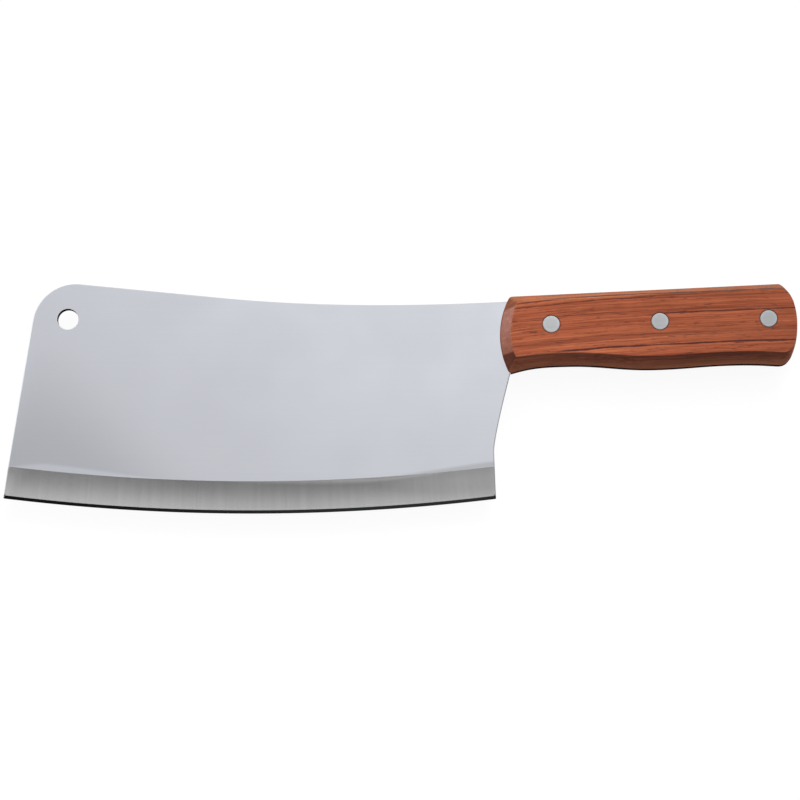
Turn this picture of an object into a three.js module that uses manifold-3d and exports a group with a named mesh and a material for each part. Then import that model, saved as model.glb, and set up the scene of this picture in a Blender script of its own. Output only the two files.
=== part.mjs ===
// A kitchen cleaver: a hollow-ground blade with a full tang, and two wooden scales held on the
// tang by three compression rivets.
//
// Millimetres. The cleaver lies on its side: +X runs from the tip of the blade to the butt of the
// handle, +Y from the cutting edge to the spine, and +Z up through the blade's thickness. The
// origin is on the surface that the rear scale lies on, under the middle of the outline.

import * as THREE from "three";
import { mergeVertices, toCreasedNormals } from "three/addons/utils/BufferGeometryUtils.js";
import Module from "manifold-3d";

const wasm = await Module();
wasm.setup();

// Blade outline. Lengths run forward from the front of the handle, heights from the handle's axis.
const BLADE_LENGTH = 203.2;
const PLATE_THICKNESS = 4;
const SPINE_AT_HANDLE = 11.45;
const SPINE_AT_SWAY = 13.2;
const SWAY_LENGTH = 115;
const SWAY_SOFTNESS = 0.333;
const SPINE_ANGLE = 5.6;
const SWAY_END_ANGLE = 2.8;
const TIP_ANGLE = 8.3;
const TIP_CORNER_RADIUS = 18;
const TIP_TOE_RADIUS = 0.4;
const EDGE_RADIUS = 828;
const EDGE_DROP = 76.2;
const EDGE_LOW_POINT = 101.7;
const HEEL_SETBACK = 1.8;
const HEEL_WAIST_SETBACK = 2.55;
const HEEL_WAIST_RISE = 18.8;
const HEEL_WAIST_SOFTENING = 5.8;

// Grind. The wheel hollows both faces from the shoulder down to the narrow edge bevel.
const GRIND_WIDTH = 13.1;
const GRIND_WHEEL_RADIUS = 100;
const EDGE_BEVEL_WIDTH = 1.3;
const EDGE_BEVEL_THICKNESS = 1.3;
const EDGE_THICKNESS = 0.2;

// Hanging hole, set out from the spine and the tip.
const HOLE_DIAMETER = 8.7;
const HOLE_FROM_SPINE = 15.1;
const HOLE_FROM_TIP = 14.3;
const HOLE_CHAMFER = 0.3;

// Handle outline, along the handle's own axis from its front to its butt.
const HANDLE_LENGTH = 122.6;
const HANDLE_RISE_ANGLE = 1.5;
const TOP_AT_FRONT = 13.4;
const TOP_AT_BUTT = 16.1;
const FRONT_RADIUS = 34.5;
const FRONT_CENTRE_DROP = 3.6;
const BUTT_RADIUS = 30.8;
const BUTT_CENTRE_DROP = 1.1;
const TOE_DROP = 18.6;
const TOE_ANGLE = 16;
const GROOVE_FROM_FRONT = 27.5;
const GROOVE_DROP = 15.85;
const SWELL_FROM_FRONT = 63.4;
const SWELL_DROP = 18.15;
const WAIST_FROM_BUTT = 26.6;
const WAIST_DROP = 17.1;
const BUTT_DROP = 18.25;
const BUTT_FLARE_ANGLE = 5;
const GRIP_SOFTNESS = 0.4;
const FRONT_CORNER = 1.2;
const BUTT_TOP_CORNER = 3.6;
const BUTT_LOW_CORNER = 3.5;

// Scales, chamfered from the tang up to a flat outer face. The insets are those of its arris.
const SCALE_THICKNESS = 8.8;
const CHAMFER_INSET = 3.7;
const FRONT_INSET = 4.2;
const TOE_INSET = 5.4;
const BUTT_INSET = 1.2;
const FACE_TOE_ANGLE = 4;
const ARRIS_ROUND = 0.5;

// Compression rivets, on the handle's axis, with heads flush in the scales.
const FIRST_RIVET_FROM_FRONT = 20.8;
const LAST_RIVET_FROM_BUTT = 12.8;
const RIVET_HEAD_DIAMETER = 7;
const RIVET_HEAD_THICKNESS = 1.6;
const RIVET_HEAD_BREAK = 0.2;
const RIVET_TUBE_DIAMETER = 5;
const RIVET_POST_DIAMETER = 3;
const RIVET_BORE_FLOOR = 1;
const RIVET_HOLE_CLEARANCE = 0.15;
const RIVET_PRESS_CLEARANCE = 0.05;
const RIVET_END_CLEARANCE = 0.4;

// Facets of the round forms.
const ROUND_SIDES = 32;
const EDGE_SIDES = 300;
const CURVE_STEPS = 12;
const CORNER_STEPS = 6;

// Levels and places that follow from the sizes above.
const PLATE_FACE = PLATE_THICKNESS / 2;
const SCALE_FACE = PLATE_FACE + SCALE_THICKNESS;
const CUT_MARGIN = PLATE_THICKNESS / 4;
const RIVET_NAMES = ["front", "middle", "rear"];
const RIVET_PITCH =
  (HANDLE_LENGTH - FIRST_RIVET_FROM_FRONT - LAST_RIVET_FROM_BUTT) / (RIVET_NAMES.length - 1);
const rivetPlace = (i) => FIRST_RIVET_FROM_FRONT + i * RIVET_PITCH;

const radians = THREE.MathUtils.degToRad;
const point = (x, y) => new THREE.Vector2(x, y);
const heading = (angle) => point(Math.cos(angle), Math.sin(angle));
const along = (start, direction, distance) => start.clone().addScaledVector(direction, distance);

// Where two lines cross, each given by a point on it and its unit direction.
function crossing(p, d, q, e) {
  const distance = q.clone().sub(p).cross(e) / d.cross(e);
  return along(p, d, distance);
}

// The last point along a line, followed in its direction, that lies on a circle.
function lastOnCircle(centre, radius, p, d) {
  const toCentre = centre.clone().sub(p);
  const nearest = toCentre.dot(d);
  const offset = toCentre.cross(d);
  return along(p, d, nearest + Math.sqrt(radius * radius - offset * offset));
}

// A closed three.js geometry as a solid that can be joined and cut.
function solidOf(geometry) {
  geometry.deleteAttribute("normal");
  geometry.deleteAttribute("uv");
  const merged = mergeVertices(geometry);
  const corners = merged.index.array;
  const kept = [];
  for (let i = 0; i < corners.length; i += 3) {
    const [a, b, c] = corners.subarray(i, i + 3);
    if (a !== b && b !== c && c !== a) kept.push(a, b, c);
  }
  return new wasm.Manifold(
    new wasm.Mesh({
      numProp: 3,
      vertProperties: merged.attributes.position.array,
      triVerts: new Uint32Array(kept),
    }),
  );
}

// A solid as a geometry whose arrises stay crisp.
function geometryOf(solid) {
  const mesh = solid.getMesh();
  const geometry = new THREE.BufferGeometry();
  geometry.setAttribute("position", new THREE.BufferAttribute(mesh.vertProperties, 3));
  geometry.setIndex(new THREE.BufferAttribute(mesh.triVerts, 1));
  return toCreasedNormals(geometry);
}

// A form revolved about the vertical axis through a place. Its profile lists [radius, height] from
// the top down.
function revolved(profile, place, sides) {
  const points = profile.map(([radius, height]) => point(radius, height)).reverse();
  const geometry = new THREE.LatheGeometry(points, sides);
  return geometry.rotateX(Math.PI / 2).translate(place.x, place.y, 0);
}

// A flat plate of the blade's thickness with a given outline, about the middle plane.
function plate(shape) {
  const geometry = new THREE.ExtrudeGeometry(shape, {
    depth: PLATE_THICKNESS,
    bevelEnabled: false,
    curveSegments: CURVE_STEPS,
  });
  return geometry.translate(0, 0, -PLATE_FACE);
}

// Handle outline, drawn in by a share of the chamfers: 0 on the tang, 1 at the arris. It runs
// anticlockwise from the toe: along the grip, up the butt, back along the top, down the front.
function handleOutline(share) {
  const inset = share * CHAMFER_INSET;
  const frontCentre = point(FRONT_RADIUS, -FRONT_CENTRE_DROP);
  const buttCentre = point(HANDLE_LENGTH - BUTT_RADIUS, -BUTT_CENTRE_DROP);
  const frontRadius = FRONT_RADIUS - share * FRONT_INSET;
  const buttRadius = BUTT_RADIUS - share * BUTT_INSET;
  const forward = point(-1, 0);
  const backward = point(1, 0);

  const topStart = point(0, TOP_AT_FRONT - inset);
  const topSlope = point(HANDLE_LENGTH, TOP_AT_BUTT - TOP_AT_FRONT).normalize();
  const frontTop = lastOnCircle(frontCentre, frontRadius, topStart, topSlope.clone().negate());
  const buttTop = lastOnCircle(buttCentre, buttRadius, topStart, topSlope);
  const toeLevel = point(0, share * TOE_INSET - TOE_DROP);
  const toe = lastOnCircle(frontCentre, frontRadius, toeLevel, forward);
  const toeAngle = THREE.MathUtils.lerp(TOE_ANGLE, FACE_TOE_ANGLE, share);
  const buttLow = lastOnCircle(buttCentre, buttRadius, point(0, inset - BUTT_DROP), backward);

  const gripNodes = [
    { place: toe, angle: toeAngle },
    { place: point(GROOVE_FROM_FRONT, inset - GROOVE_DROP), angle: 0 },
    { place: point(SWELL_FROM_FRONT, inset - SWELL_DROP), angle: 0 },
    { place: point(HANDLE_LENGTH - WAIST_FROM_BUTT, inset - WAIST_DROP), angle: 0 },
    { place: buttLow, angle: -BUTT_FLARE_ANGLE },
  ];
  const grip = gripCurve(gripNodes);
  const butt = arcBetween(buttCentre, buttRadius, buttLow, buttTop);
  const top = new THREE.LineCurve(buttTop, frontTop);
  const front = arcBetween(frontCentre, frontRadius, frontTop, toe);
  return roundedLoop([
    { curve: grip, steps: (gripNodes.length - 1) * CURVE_STEPS, corner: BUTT_LOW_CORNER },
    { curve: butt, steps: CURVE_STEPS, corner: BUTT_TOP_CORNER },
    { curve: top, steps: Math.ceil(CURVE_STEPS / 2), corner: FRONT_CORNER },
    { curve: front, steps: CURVE_STEPS, corner: FRONT_CORNER },
  ]);
}

// A smooth curve through the grip's nodes, with the slope that each of them has.
function gripCurve(nodes) {
  const curve = new THREE.CurvePath();
  for (let i = 1; i < nodes.length; i++) {
    const from = nodes[i - 1];
    const to = nodes[i];
    const reach = GRIP_SOFTNESS * (to.place.x - from.place.x);
    const leave = along(from.place, heading(radians(from.angle)), reach);
    const arrive = along(to.place, heading(radians(to.angle)), -reach);
    curve.add(new THREE.CubicBezierCurve(from.place, leave, arrive, to.place));
  }
  return curve;
}

// The anticlockwise arc of a circle from one point on it to another.
function arcBetween(centre, radius, from, to) {
  const start = from.clone().sub(centre).angle();
  const end = to.clone().sub(centre).angle();
  return new THREE.EllipseCurve(centre.x, centre.y, radius, radius, start, end, false);
}

// Points round a closed loop of sides. Each side's corner, where it meets the next one, is rounded
// off over the given distance along both.
function roundedLoop(sides) {
  const points = [];
  sides.forEach((side, i) => {
    const next = sides[(i + 1) % sides.length];
    const before = sides[(i + sides.length - 1) % sides.length];
    const length = side.curve.getLength();
    const from = before.corner / length;
    const to = 1 - side.corner / length;
    for (let k = 0; k <= side.steps; k++) {
      points.push(side.curve.getPointAt(from + ((to - from) * k) / side.steps));
    }
    const corner = side.curve.getPointAt(1);
    const leave = next.curve.getPointAt(side.corner / next.curve.getLength());
    const round = new THREE.QuadraticBezierCurve(points.at(-1), corner, leave);
    points.push(...round.getPoints(CORNER_STEPS).slice(1, -1));
  });
  return points;
}

// Blade outline, from the spine to a line clear below the cutting edge. The grind trims it there.
// The heel ends at a root inside the tang.
function bladeOutline(heelRoot) {
  const edgeCentre = point(-EDGE_LOW_POINT, EDGE_RADIUS - EDGE_DROP);
  const edgeAt = (x) => lastOnCircle(edgeCentre, EDGE_RADIUS, point(x, 0), point(0, -1));

  // The tip's line leans back as it rises, and the spine falls away from the tip's corner.
  const tipStart = edgeAt(-BLADE_LENGTH);
  const tipUp = heading(radians(90 - TIP_ANGLE));
  const tipInward = heading(radians(-TIP_ANGLE));
  const spineStart = point(-SWAY_LENGTH, SPINE_AT_SWAY);
  const spineBack = heading(radians(-SPINE_ANGLE));
  const spineInward = heading(radians(-90 - SPINE_ANGLE));
  const insetCorner = (fromTip, fromSpine) =>
    crossing(
      along(tipStart, tipInward, fromTip),
      tipUp,
      along(spineStart, spineInward, fromSpine),
      spineBack,
    );

  // The toe of the edge is rounded between the tip's line and the edge's own arc.
  const toeRound = lastOnCircle(
    edgeCentre,
    EDGE_RADIUS - TIP_TOE_RADIUS,
    along(tipStart, tipInward, TIP_TOE_RADIUS),
    tipUp.clone().negate(),
  );
  const toeDown = toeRound.clone().sub(edgeCentre).normalize();
  const edgeBack = point(-toeDown.y, toeDown.x);
  const belowEdge = along(along(toeRound, toeDown, TIP_TOE_RADIUS), edgeBack, BLADE_LENGTH);

  const cornerCentre = insetCorner(TIP_CORNER_RADIUS, TIP_CORNER_RADIUS);
  const swayReach = SWAY_LENGTH * SWAY_SOFTNESS;
  const swayEnd = point(0, SPINE_AT_HANDLE);
  const swayRise = heading(radians(SWAY_END_ANGLE));
  const swayLeave = along(spineStart, spineBack, swayReach);
  const swayArrive = along(swayEnd, swayRise, -swayReach);
  const spineRoot = along(swayEnd, swayRise, 2 * heelRoot.x);

  const heel = edgeAt(-HEEL_SETBACK);
  const heelWaist = point(-HEEL_WAIST_SETBACK, heel.y + HEEL_WAIST_RISE);
  const heelDown = heel.clone().sub(heelWaist).normalize();
  const heelControl = along(heelWaist, heelDown, -HEEL_WAIST_SOFTENING);
  const heelBelow = along(heel, heelDown, GRIND_WIDTH / 2);

  const shape = new THREE.Shape();
  shape.moveTo(heelBelow.x, heelBelow.y);
  shape.lineTo(belowEdge.x, belowEdge.y);
  const tipOut = radians(180 - TIP_ANGLE);
  const spineOut = radians(90 - SPINE_ANGLE);
  shape.absarc(toeRound.x, toeRound.y, TIP_TOE_RADIUS, toeDown.angle(), tipOut, true);
  shape.absarc(cornerCentre.x, cornerCentre.y, TIP_CORNER_RADIUS, tipOut, spineOut, true);
  shape.lineTo(spineStart.x, spineStart.y);
  shape.bezierCurveTo(swayLeave.x, swayLeave.y, swayArrive.x, swayArrive.y, swayEnd.x, swayEnd.y);
  shape.lineTo(spineRoot.x, spineRoot.y);
  shape.lineTo(heelRoot.x, heelRoot.y);
  shape.quadraticCurveTo(heelControl.x, heelControl.y, heelWaist.x, heelWaist.y);
  shape.closePath();
  return { shape, edgeCentre, hole: insetCorner(HOLE_FROM_TIP, HOLE_FROM_SPINE) };
}

// The space that the grind leaves: a wide ring about the edge's centre, whose rim has the section
// of the blade, with a hollow of the wheel's radius, the edge bevel and the edge itself.
function grindRing(edgeCentre) {
  const shoulder = point(EDGE_RADIUS - GRIND_WIDTH, PLATE_FACE);
  const bevel = point(EDGE_RADIUS - EDGE_BEVEL_WIDTH, EDGE_BEVEL_THICKNESS / 2);
  const middle = shoulder.clone().lerp(bevel, 0.5);
  const chord = bevel.clone().sub(shoulder);
  const outward = point(-chord.y, chord.x).normalize();
  const wheel = along(middle, outward, Math.sqrt(GRIND_WHEEL_RADIUS ** 2 - chord.lengthSq() / 4));
  const clear = PLATE_FACE + CUT_MARGIN;
  const startAngle = Math.PI - Math.asin((clear - wheel.y) / GRIND_WHEEL_RADIUS);
  const endAngle = bevel.clone().sub(wheel).angle();
  const hollow = new THREE.EllipseCurve(
    wheel.x, wheel.y, GRIND_WHEEL_RADIUS, GRIND_WHEEL_RADIUS, startAngle, endAngle, false,
  ).getPoints(CURVE_STEPS).map((p) => [p.x, p.y]);

  const inside = EDGE_RADIUS / 2;
  const upper = [[inside, clear], ...hollow, [EDGE_RADIUS, EDGE_THICKNESS / 2]];
  const lower = upper.map(([radius, height]) => [radius, -height]).reverse();
  const profile = [...upper, ...lower, upper[0]];
  return solidOf(revolved(profile, edgeCentre, EDGE_SIDES));
}

// A cutter for a hole right through the plate, with both rims chamfered.
function plateHole(place, diameter, chamfer) {
  const radius = diameter / 2;
  const waist = PLATE_FACE - chamfer;
  const beyond = PLATE_FACE + CUT_MARGIN;
  const flare = radius + chamfer + CUT_MARGIN;
  const upper = [[0, beyond], [flare, beyond], [radius, waist]];
  const lower = upper.map(([r, height]) => [r, -height]).reverse();
  const profile = [...upper, ...lower];
  return solidOf(revolved(profile, place, ROUND_SIDES));
}

// The blade with its tang: one plate, ground at the edge and pierced for the hook and the rivets.
function bladeGeometry() {
  const turn = new THREE.Matrix4().makeRotationZ(radians(HANDLE_RISE_ANGLE));
  const inBlade = (x, y) => point(x, y).rotateAround(point(0, 0), radians(HANDLE_RISE_ANGLE));
  const tangOutline = handleOutline(0);
  const tang = solidOf(plate(new THREE.Shape(tangOutline)).applyMatrix4(turn));

  // The heel runs up into the tang just above the handle's toe.
  const heelRoot = inBlade(tangOutline[0].x, tangOutline[0].y + 2 * FRONT_CORNER);
  const outline = bladeOutline(heelRoot);
  let solid = solidOf(plate(outline.shape)).intersect(grindRing(outline.edgeCentre)).add(tang);
  solid = solid.subtract(plateHole(outline.hole, HOLE_DIAMETER, HOLE_CHAMFER));
  const tubeHole = RIVET_TUBE_DIAMETER + 2 * RIVET_HOLE_CLEARANCE;
  RIVET_NAMES.forEach((_, i) => {
    solid = solid.subtract(plateHole(inBlade(rivetPlace(i), 0), tubeHole, 0));
  });
  return geometryOf(solid);
}

// The scale's section: how far the outline is drawn in at each height above the tang. A straight
// chamfer rises to the arris, which is rounded over into the flat face.
function scaleSection() {
  const arris = point(CHAMFER_INSET, SCALE_THICKNESS);
  const wall = arris.clone().normalize();
  const wallEnd = along(arris, wall, -ARRIS_ROUND);
  const faceStart = along(arris, point(1, 0), ARRIS_ROUND);
  const round = new THREE.QuadraticBezierCurve(wallEnd, arris, faceStart);
  return [point(0, 0), ...round.getPoints(CORNER_STEPS)];
}

// One scale as a loft through its section's outlines, on the +Z side of the tang or the other.
function scaleLoft(side) {
  const rings = scaleSection().map(({ x: inset, y: height }) => ({
    outline: handleOutline(inset / CHAMFER_INSET),
    level: side * (PLATE_FACE + height),
  }));
  const count = rings[0].outline.length;
  const positions = rings.flatMap(({ outline, level }) => outline.flatMap((p) => [p.x, p.y, level]));
  const triangles = [];
  const face = (a, b, c) => triangles.push(...(side > 0 ? [a, b, c] : [a, c, b]));
  for (let ring = 1; ring < rings.length; ring++) {
    for (let i = 0; i < count; i++) {
      const low = (ring - 1) * count;
      const high = ring * count;
      const next = (i + 1) % count;
      face(low + i, low + next, high + next);
      face(low + i, high + next, high + i);
    }
  }
  const capOf = (ring) => THREE.ShapeUtils.triangulateShape(rings[ring].outline, []);
  const last = rings.length - 1;
  capOf(0).forEach(([a, b, c]) => face(a, c, b));
  capOf(last).forEach(([a, b, c]) => face(last * count + a, last * count + b, last * count + c));

  const geometry = new THREE.BufferGeometry();
  geometry.setAttribute("position", new THREE.Float32BufferAttribute(positions, 3));
  geometry.setIndex(triangles);
  return geometry;
}

// A scale with a stepped hole for each rivet: a seat for the head and a bore for the tube.
function scaleGeometry(side) {
  const bore = RIVET_TUBE_DIAMETER / 2 + RIVET_HOLE_CLEARANCE;
  const seat = RIVET_HEAD_DIAMETER / 2 + RIVET_HOLE_CLEARANCE;
  const seatFloor = SCALE_FACE - RIVET_HEAD_THICKNESS;
  const profile = [
    [0, SCALE_FACE + CUT_MARGIN],
    [seat, SCALE_FACE + CUT_MARGIN],
    [seat, seatFloor],
    [bore, seatFloor],
    [bore, 0],
    [0, 0],
  ];
  let solid = solidOf(scaleLoft(side));
  RIVET_NAMES.forEach((_, i) => {
    const cutter = revolved(profile, point(0, 0), ROUND_SIDES);
    if (side < 0) cutter.rotateX(Math.PI);
    solid = solid.subtract(solidOf(cutter.translate(rivetPlace(i), 0, 0)));
  });
  return geometryOf(solid);
}

// The half of a rivet whose hollow shank runs through both scales, head upwards.
function rivetTubeGeometry() {
  const head = RIVET_HEAD_DIAMETER / 2;
  const tube = RIVET_TUBE_DIAMETER / 2;
  const bore = RIVET_POST_DIAMETER / 2 + RIVET_PRESS_CLEARANCE;
  const headFloor = SCALE_FACE - RIVET_HEAD_THICKNESS;
  const mouth = RIVET_END_CLEARANCE - headFloor;
  const profile = [
    [0, SCALE_FACE],
    [head - RIVET_HEAD_BREAK, SCALE_FACE],
    [head, SCALE_FACE - RIVET_HEAD_BREAK],
    [head, headFloor],
    [tube, headFloor],
    [tube, mouth],
    [bore, mouth],
    [bore, headFloor - RIVET_BORE_FLOOR],
    [0, headFloor - RIVET_BORE_FLOOR],
  ];
  return geometryOf(solidOf(revolved(profile, point(0, 0), ROUND_SIDES)));
}

// The half whose solid shank is pressed up into the tube, head downwards.
function rivetPostGeometry() {
  const head = RIVET_HEAD_DIAMETER / 2;
  const post = RIVET_POST_DIAMETER / 2;
  const headFloor = SCALE_FACE - RIVET_HEAD_THICKNESS;
  const profile = [
    [0, headFloor - RIVET_BORE_FLOOR - RIVET_END_CLEARANCE],
    [post, headFloor - RIVET_BORE_FLOOR - RIVET_END_CLEARANCE],
    [post, -headFloor],
    [head, -headFloor],
    [head, RIVET_HEAD_BREAK - SCALE_FACE],
    [head - RIVET_HEAD_BREAK, -SCALE_FACE],
    [0, -SCALE_FACE],
  ];
  return geometryOf(solidOf(revolved(profile, point(0, 0), ROUND_SIDES)));
}

function named(name, geometry, finish) {
  const mesh = new THREE.Mesh(geometry, new THREE.MeshStandardMaterial(finish));
  mesh.name = name;
  return mesh;
}

const bladeSteel = { color: 0xc5c9d0, roughness: 0.35, metalness: 1 };
const rivetSteel = { color: 0xb9bbbd, roughness: 0.45, metalness: 1 };
const handleWood = { color: 0x9f5a40, roughness: 0.55, metalness: 0 };

const handle = new THREE.Group();
handle.rotation.z = radians(HANDLE_RISE_ANGLE);
handle.add(named("front_scale", scaleGeometry(1), handleWood));
handle.add(named("rear_scale", scaleGeometry(-1), handleWood));
RIVET_NAMES.forEach((place, i) => {
  const rivet = new THREE.Group();
  rivet.position.x = rivetPlace(i);
  rivet.add(named(`${place}_rivet_tube`, rivetTubeGeometry(), rivetSteel));
  rivet.add(named(`${place}_rivet_post`, rivetPostGeometry(), rivetSteel));
  handle.add(rivet);
});

const cleaver = new THREE.Group();
cleaver.add(named("blade", bladeGeometry(), bladeSteel), handle);

// The rear scale's face lies on the surface, and the origin is under the middle of the outline.
const reach = new THREE.Box3().setFromObject(cleaver, true);
const middle = reach.getCenter(new THREE.Vector3());
cleaver.position.set(-middle.x, -middle.y, SCALE_FACE);

export default cleaver;
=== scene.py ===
"""Looks of a kitchen cleaver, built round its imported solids.

The blade, the two wooden scales and the rivets are made again as finer meshes, in the places of the
solids that they stand for, and get procedural finishes. Sizes in the classes are in millimetres and
degrees, as on the part's drawing, whose origin is at the front of the handle, on the handle's axis
and in the blade's middle plane. Meshes are in metres, in the part's own frame.
"""

import logging
import math
from collections.abc import Callable, Sequence
from dataclasses import asdict, dataclass, field
from enum import IntEnum
from functools import reduce
from typing import Any

import bmesh
import bpy
from bmesh.types import BMEdge, BMesh, BMFace, BMVert
from bpy.types import Material, Mesh, Node, NodeTree, Object
from mathutils import Matrix, Vector
from mathutils.geometry import delaunay_2d_cdt, intersect_line_line_2d

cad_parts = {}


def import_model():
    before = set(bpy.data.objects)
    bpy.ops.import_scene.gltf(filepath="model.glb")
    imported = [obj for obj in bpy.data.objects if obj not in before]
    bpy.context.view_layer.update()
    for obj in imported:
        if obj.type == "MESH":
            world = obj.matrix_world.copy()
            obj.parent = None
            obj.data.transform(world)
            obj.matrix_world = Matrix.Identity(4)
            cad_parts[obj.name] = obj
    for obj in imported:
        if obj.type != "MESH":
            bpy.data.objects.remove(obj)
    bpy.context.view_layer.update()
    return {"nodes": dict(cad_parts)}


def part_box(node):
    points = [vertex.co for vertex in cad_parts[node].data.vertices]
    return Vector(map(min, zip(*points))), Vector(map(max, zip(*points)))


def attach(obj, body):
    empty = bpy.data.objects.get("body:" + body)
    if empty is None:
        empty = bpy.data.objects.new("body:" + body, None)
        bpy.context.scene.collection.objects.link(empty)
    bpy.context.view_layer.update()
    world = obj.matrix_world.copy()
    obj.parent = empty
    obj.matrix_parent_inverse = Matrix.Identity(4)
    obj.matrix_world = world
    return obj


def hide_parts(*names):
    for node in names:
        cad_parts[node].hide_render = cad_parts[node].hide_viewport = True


LOG = logging.getLogger("cleaver")
MM = 0.001
BODY = "root"
FILL_TOLERANCE = 1e-7

Colour = tuple[float, float, float]
Range = tuple[float, float]
Socket = bpy.types.NodeSocket

WHITE: Colour = (1.0, 1.0, 1.0)


# Plane geometry


def heading(angle: float) -> Vector:
    """Returns the unit vector at an angle in degrees."""
    return Vector((math.cos(math.radians(angle)), math.sin(math.radians(angle))))


def turned(point: Vector, angle: float) -> Vector:
    """Returns a point turned about the origin by an angle in degrees."""
    return Matrix.Rotation(math.radians(angle), 2) @ point


def angle_of(vector: Vector) -> float:
    """Returns a vector's angle in degrees, from 0 to 360."""
    return math.degrees(math.atan2(vector.y, vector.x)) % 360


def crossing(p: Vector, d: Vector, q: Vector, e: Vector) -> Vector:
    """Returns where the line through p along d crosses the line through q along e."""
    return p + d * ((q - p).cross(e) / d.cross(e))


def last_on_circle(centre: Vector, radius: float, start: Vector, direction: Vector) -> Vector:
    """Finds the last point along a line that lies on a circle.

    Args:
        centre: The circle's centre.
        radius: The circle's radius.
        start: A point on the line.
        direction: The line's unit direction.

    Returns:
        The point where the line leaves the circle.
    """
    to_centre = centre - start
    offset = to_centre.cross(direction)
    return start + direction * (to_centre.dot(direction) + math.sqrt(radius**2 - offset**2))


def arc(centre: Vector, radius: float, start: float, end: float, steps: int) -> list[Vector]:
    """Returns points along an arc from one angle to another, in degrees, both ends included."""
    angles = [start + (end - start) * k / steps for k in range(steps + 1)]
    return [centre + heading(angle) * radius for angle in angles]


def circle(centre: Vector, radius: float, sides: int) -> list[Vector]:
    """Returns the points of a circle."""
    return arc(centre, radius, 0, 360, sides)[:-1]


def bezier(controls: Sequence[Vector], steps: int) -> list[Vector]:
    """Draws a Bezier curve of any degree as a chain of points.

    Args:
        controls: The control points.
        steps: How many chords it has.

    Returns:
        The points, both ends included.
    """
    points = []
    for k in range(steps + 1):
        level = list(controls)
        while len(level) > 1:
            level = [a.lerp(b, k / steps) for a, b in zip(level, level[1:])]
        points.append(level[0])
    return points


def length_of(path: Sequence[Vector]) -> float:
    """Returns the length of a chain of points."""
    return sum((b - a).length for a, b in zip(path, path[1:]))


def stretch(path: Sequence[Vector], start: float, end: float, steps: int) -> list[Vector]:
    """Takes evenly spaced points from part of a chain.

    Args:
        path: The chain of points.
        start: The distance along it of the first point.
        end: The distance along it of the last point.
        steps: How many equal steps to take between them.

    Returns:
        The points, both ends included.
    """
    found, done, index = [], 0.0, 0
    for k in range(steps + 1):
        wanted = start + (end - start) * k / steps
        while index < len(path) - 2 and done + (path[index + 1] - path[index]).length < wanted:
            done += (path[index + 1] - path[index]).length
            index += 1
        step = path[index + 1] - path[index]
        found.append(path[index] + step * ((wanted - done) / step.length))
    return found


def inset_loop(loop: Sequence[Vector], distance: float) -> list[Vector]:
    """Draws a closed anticlockwise loop inwards by a distance, with mitred corners.

    Args:
        loop: The loop's points.
        distance: How far each side moves inwards.

    Returns:
        As many points as the loop has.
    """
    moved = []
    for i, here in enumerate(loop):
        before = (here - loop[i - 1]).normalized().orthogonal()
        after = (loop[(i + 1) % len(loop)] - here).normalized().orthogonal()
        moved.append(here + (before + after) * (distance / (1 + before.dot(after))))
    return moved


def first_meeting(path: Sequence[Vector], loop: Sequence[Vector]) -> tuple[int, int, Vector]:
    """Finds where a chain of points first meets a closed loop.

    Args:
        path: The chain.
        loop: The loop.

    Returns:
        The number of the chain's step, the number of the loop's side, and the point.

    Raises:
        ValueError: If they don't meet.
    """
    for i, (a, b) in enumerate(zip(path, path[1:])):
        for j, c in enumerate(loop):
            found = intersect_line_line_2d(a, b, c, loop[(j + 1) % len(loop)])
            if found is not None:
                return i, j, found
    raise ValueError("the outlines of the blade and the tang don't meet")


def encloses(sides: Sequence[tuple[Vector, Vector]], p: Vector) -> bool:
    """Tells whether a point lies inside closed loops, from the two ends of each of their sides."""
    level = [(a, b) for a, b in sides if (a.y > p.y) != (b.y > p.y)]
    return sum(p.x < a.x + (b.x - a.x) * (p.y - a.y) / (b.y - a.y) for a, b in level) % 2 == 1


# Places and meshes


@dataclass(frozen=True)
class Drawing:
    """Where the drawing lies in the part's frame.

    Attributes:
        origin: The drawing's origin, in metres.
    """

    origin: Vector

    def point(self, point: Vector, height: float) -> Vector:
        """Returns a point of the drawing in the frame."""
        return self.origin + Vector((point.x, point.y, height)) * MM

    def ring(self, mesh: BMesh, points: Sequence[Vector], height: float) -> list[BMVert]:
        """Adds a vertex to a mesh at each of the drawing's points."""
        return [mesh.verts.new(self.point(p, height)) for p in points]


def loft(mesh: BMesh, rings: Sequence[Sequence[BMVert]]) -> list[list[BMFace]]:
    """Joins closed rings of as many vertices, each to the next, with faces.

    Args:
        mesh: The mesh that they are in.
        rings: The rings.

    Returns:
        The faces between each two rings, in the rings' order.
    """
    count = len(rings[0])
    following = [(k + 1) % count for k in range(count)]
    return [
        [mesh.faces.new((a[k], a[n], b[n], b[k])) for k, n in enumerate(following)]
        for a, b in zip(rings, rings[1:])
    ]


def fill(
    mesh: BMesh, loops: Sequence[Sequence[Vector]], rings: Sequence[Sequence[BMVert]]
) -> list[BMFace]:
    """Fills the space between an outer loop and the loops of its holes with triangles.

    Args:
        mesh: The mesh that gets the triangles.
        loops: The outer loop's points, then the holes'.
        rings: The vertices at those points.

    Returns:
        The triangles.
    """
    points = [p for loop in loops for p in loop]
    vertices = [v for ring in rings for v in ring]
    sides, first = [], 0
    for loop in loops:
        count = len(loop)
        sides += [(first + k, first + (k + 1) % count) for k in range(count)]
        first += count
    ends = [(points[i], points[j]) for i, j in sides]

    places, _, faces, origins, _, _ = delaunay_2d_cdt(points, sides, [], 0, FILL_TOLERANCE)
    made = []
    for face in faces:
        middle = sum((places[k] for k in face), Vector((0.0, 0.0))) / len(face)
        if encloses(ends, middle):
            made.append(mesh.faces.new([vertices[origins[k][0]] for k in face]))
    return made


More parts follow.
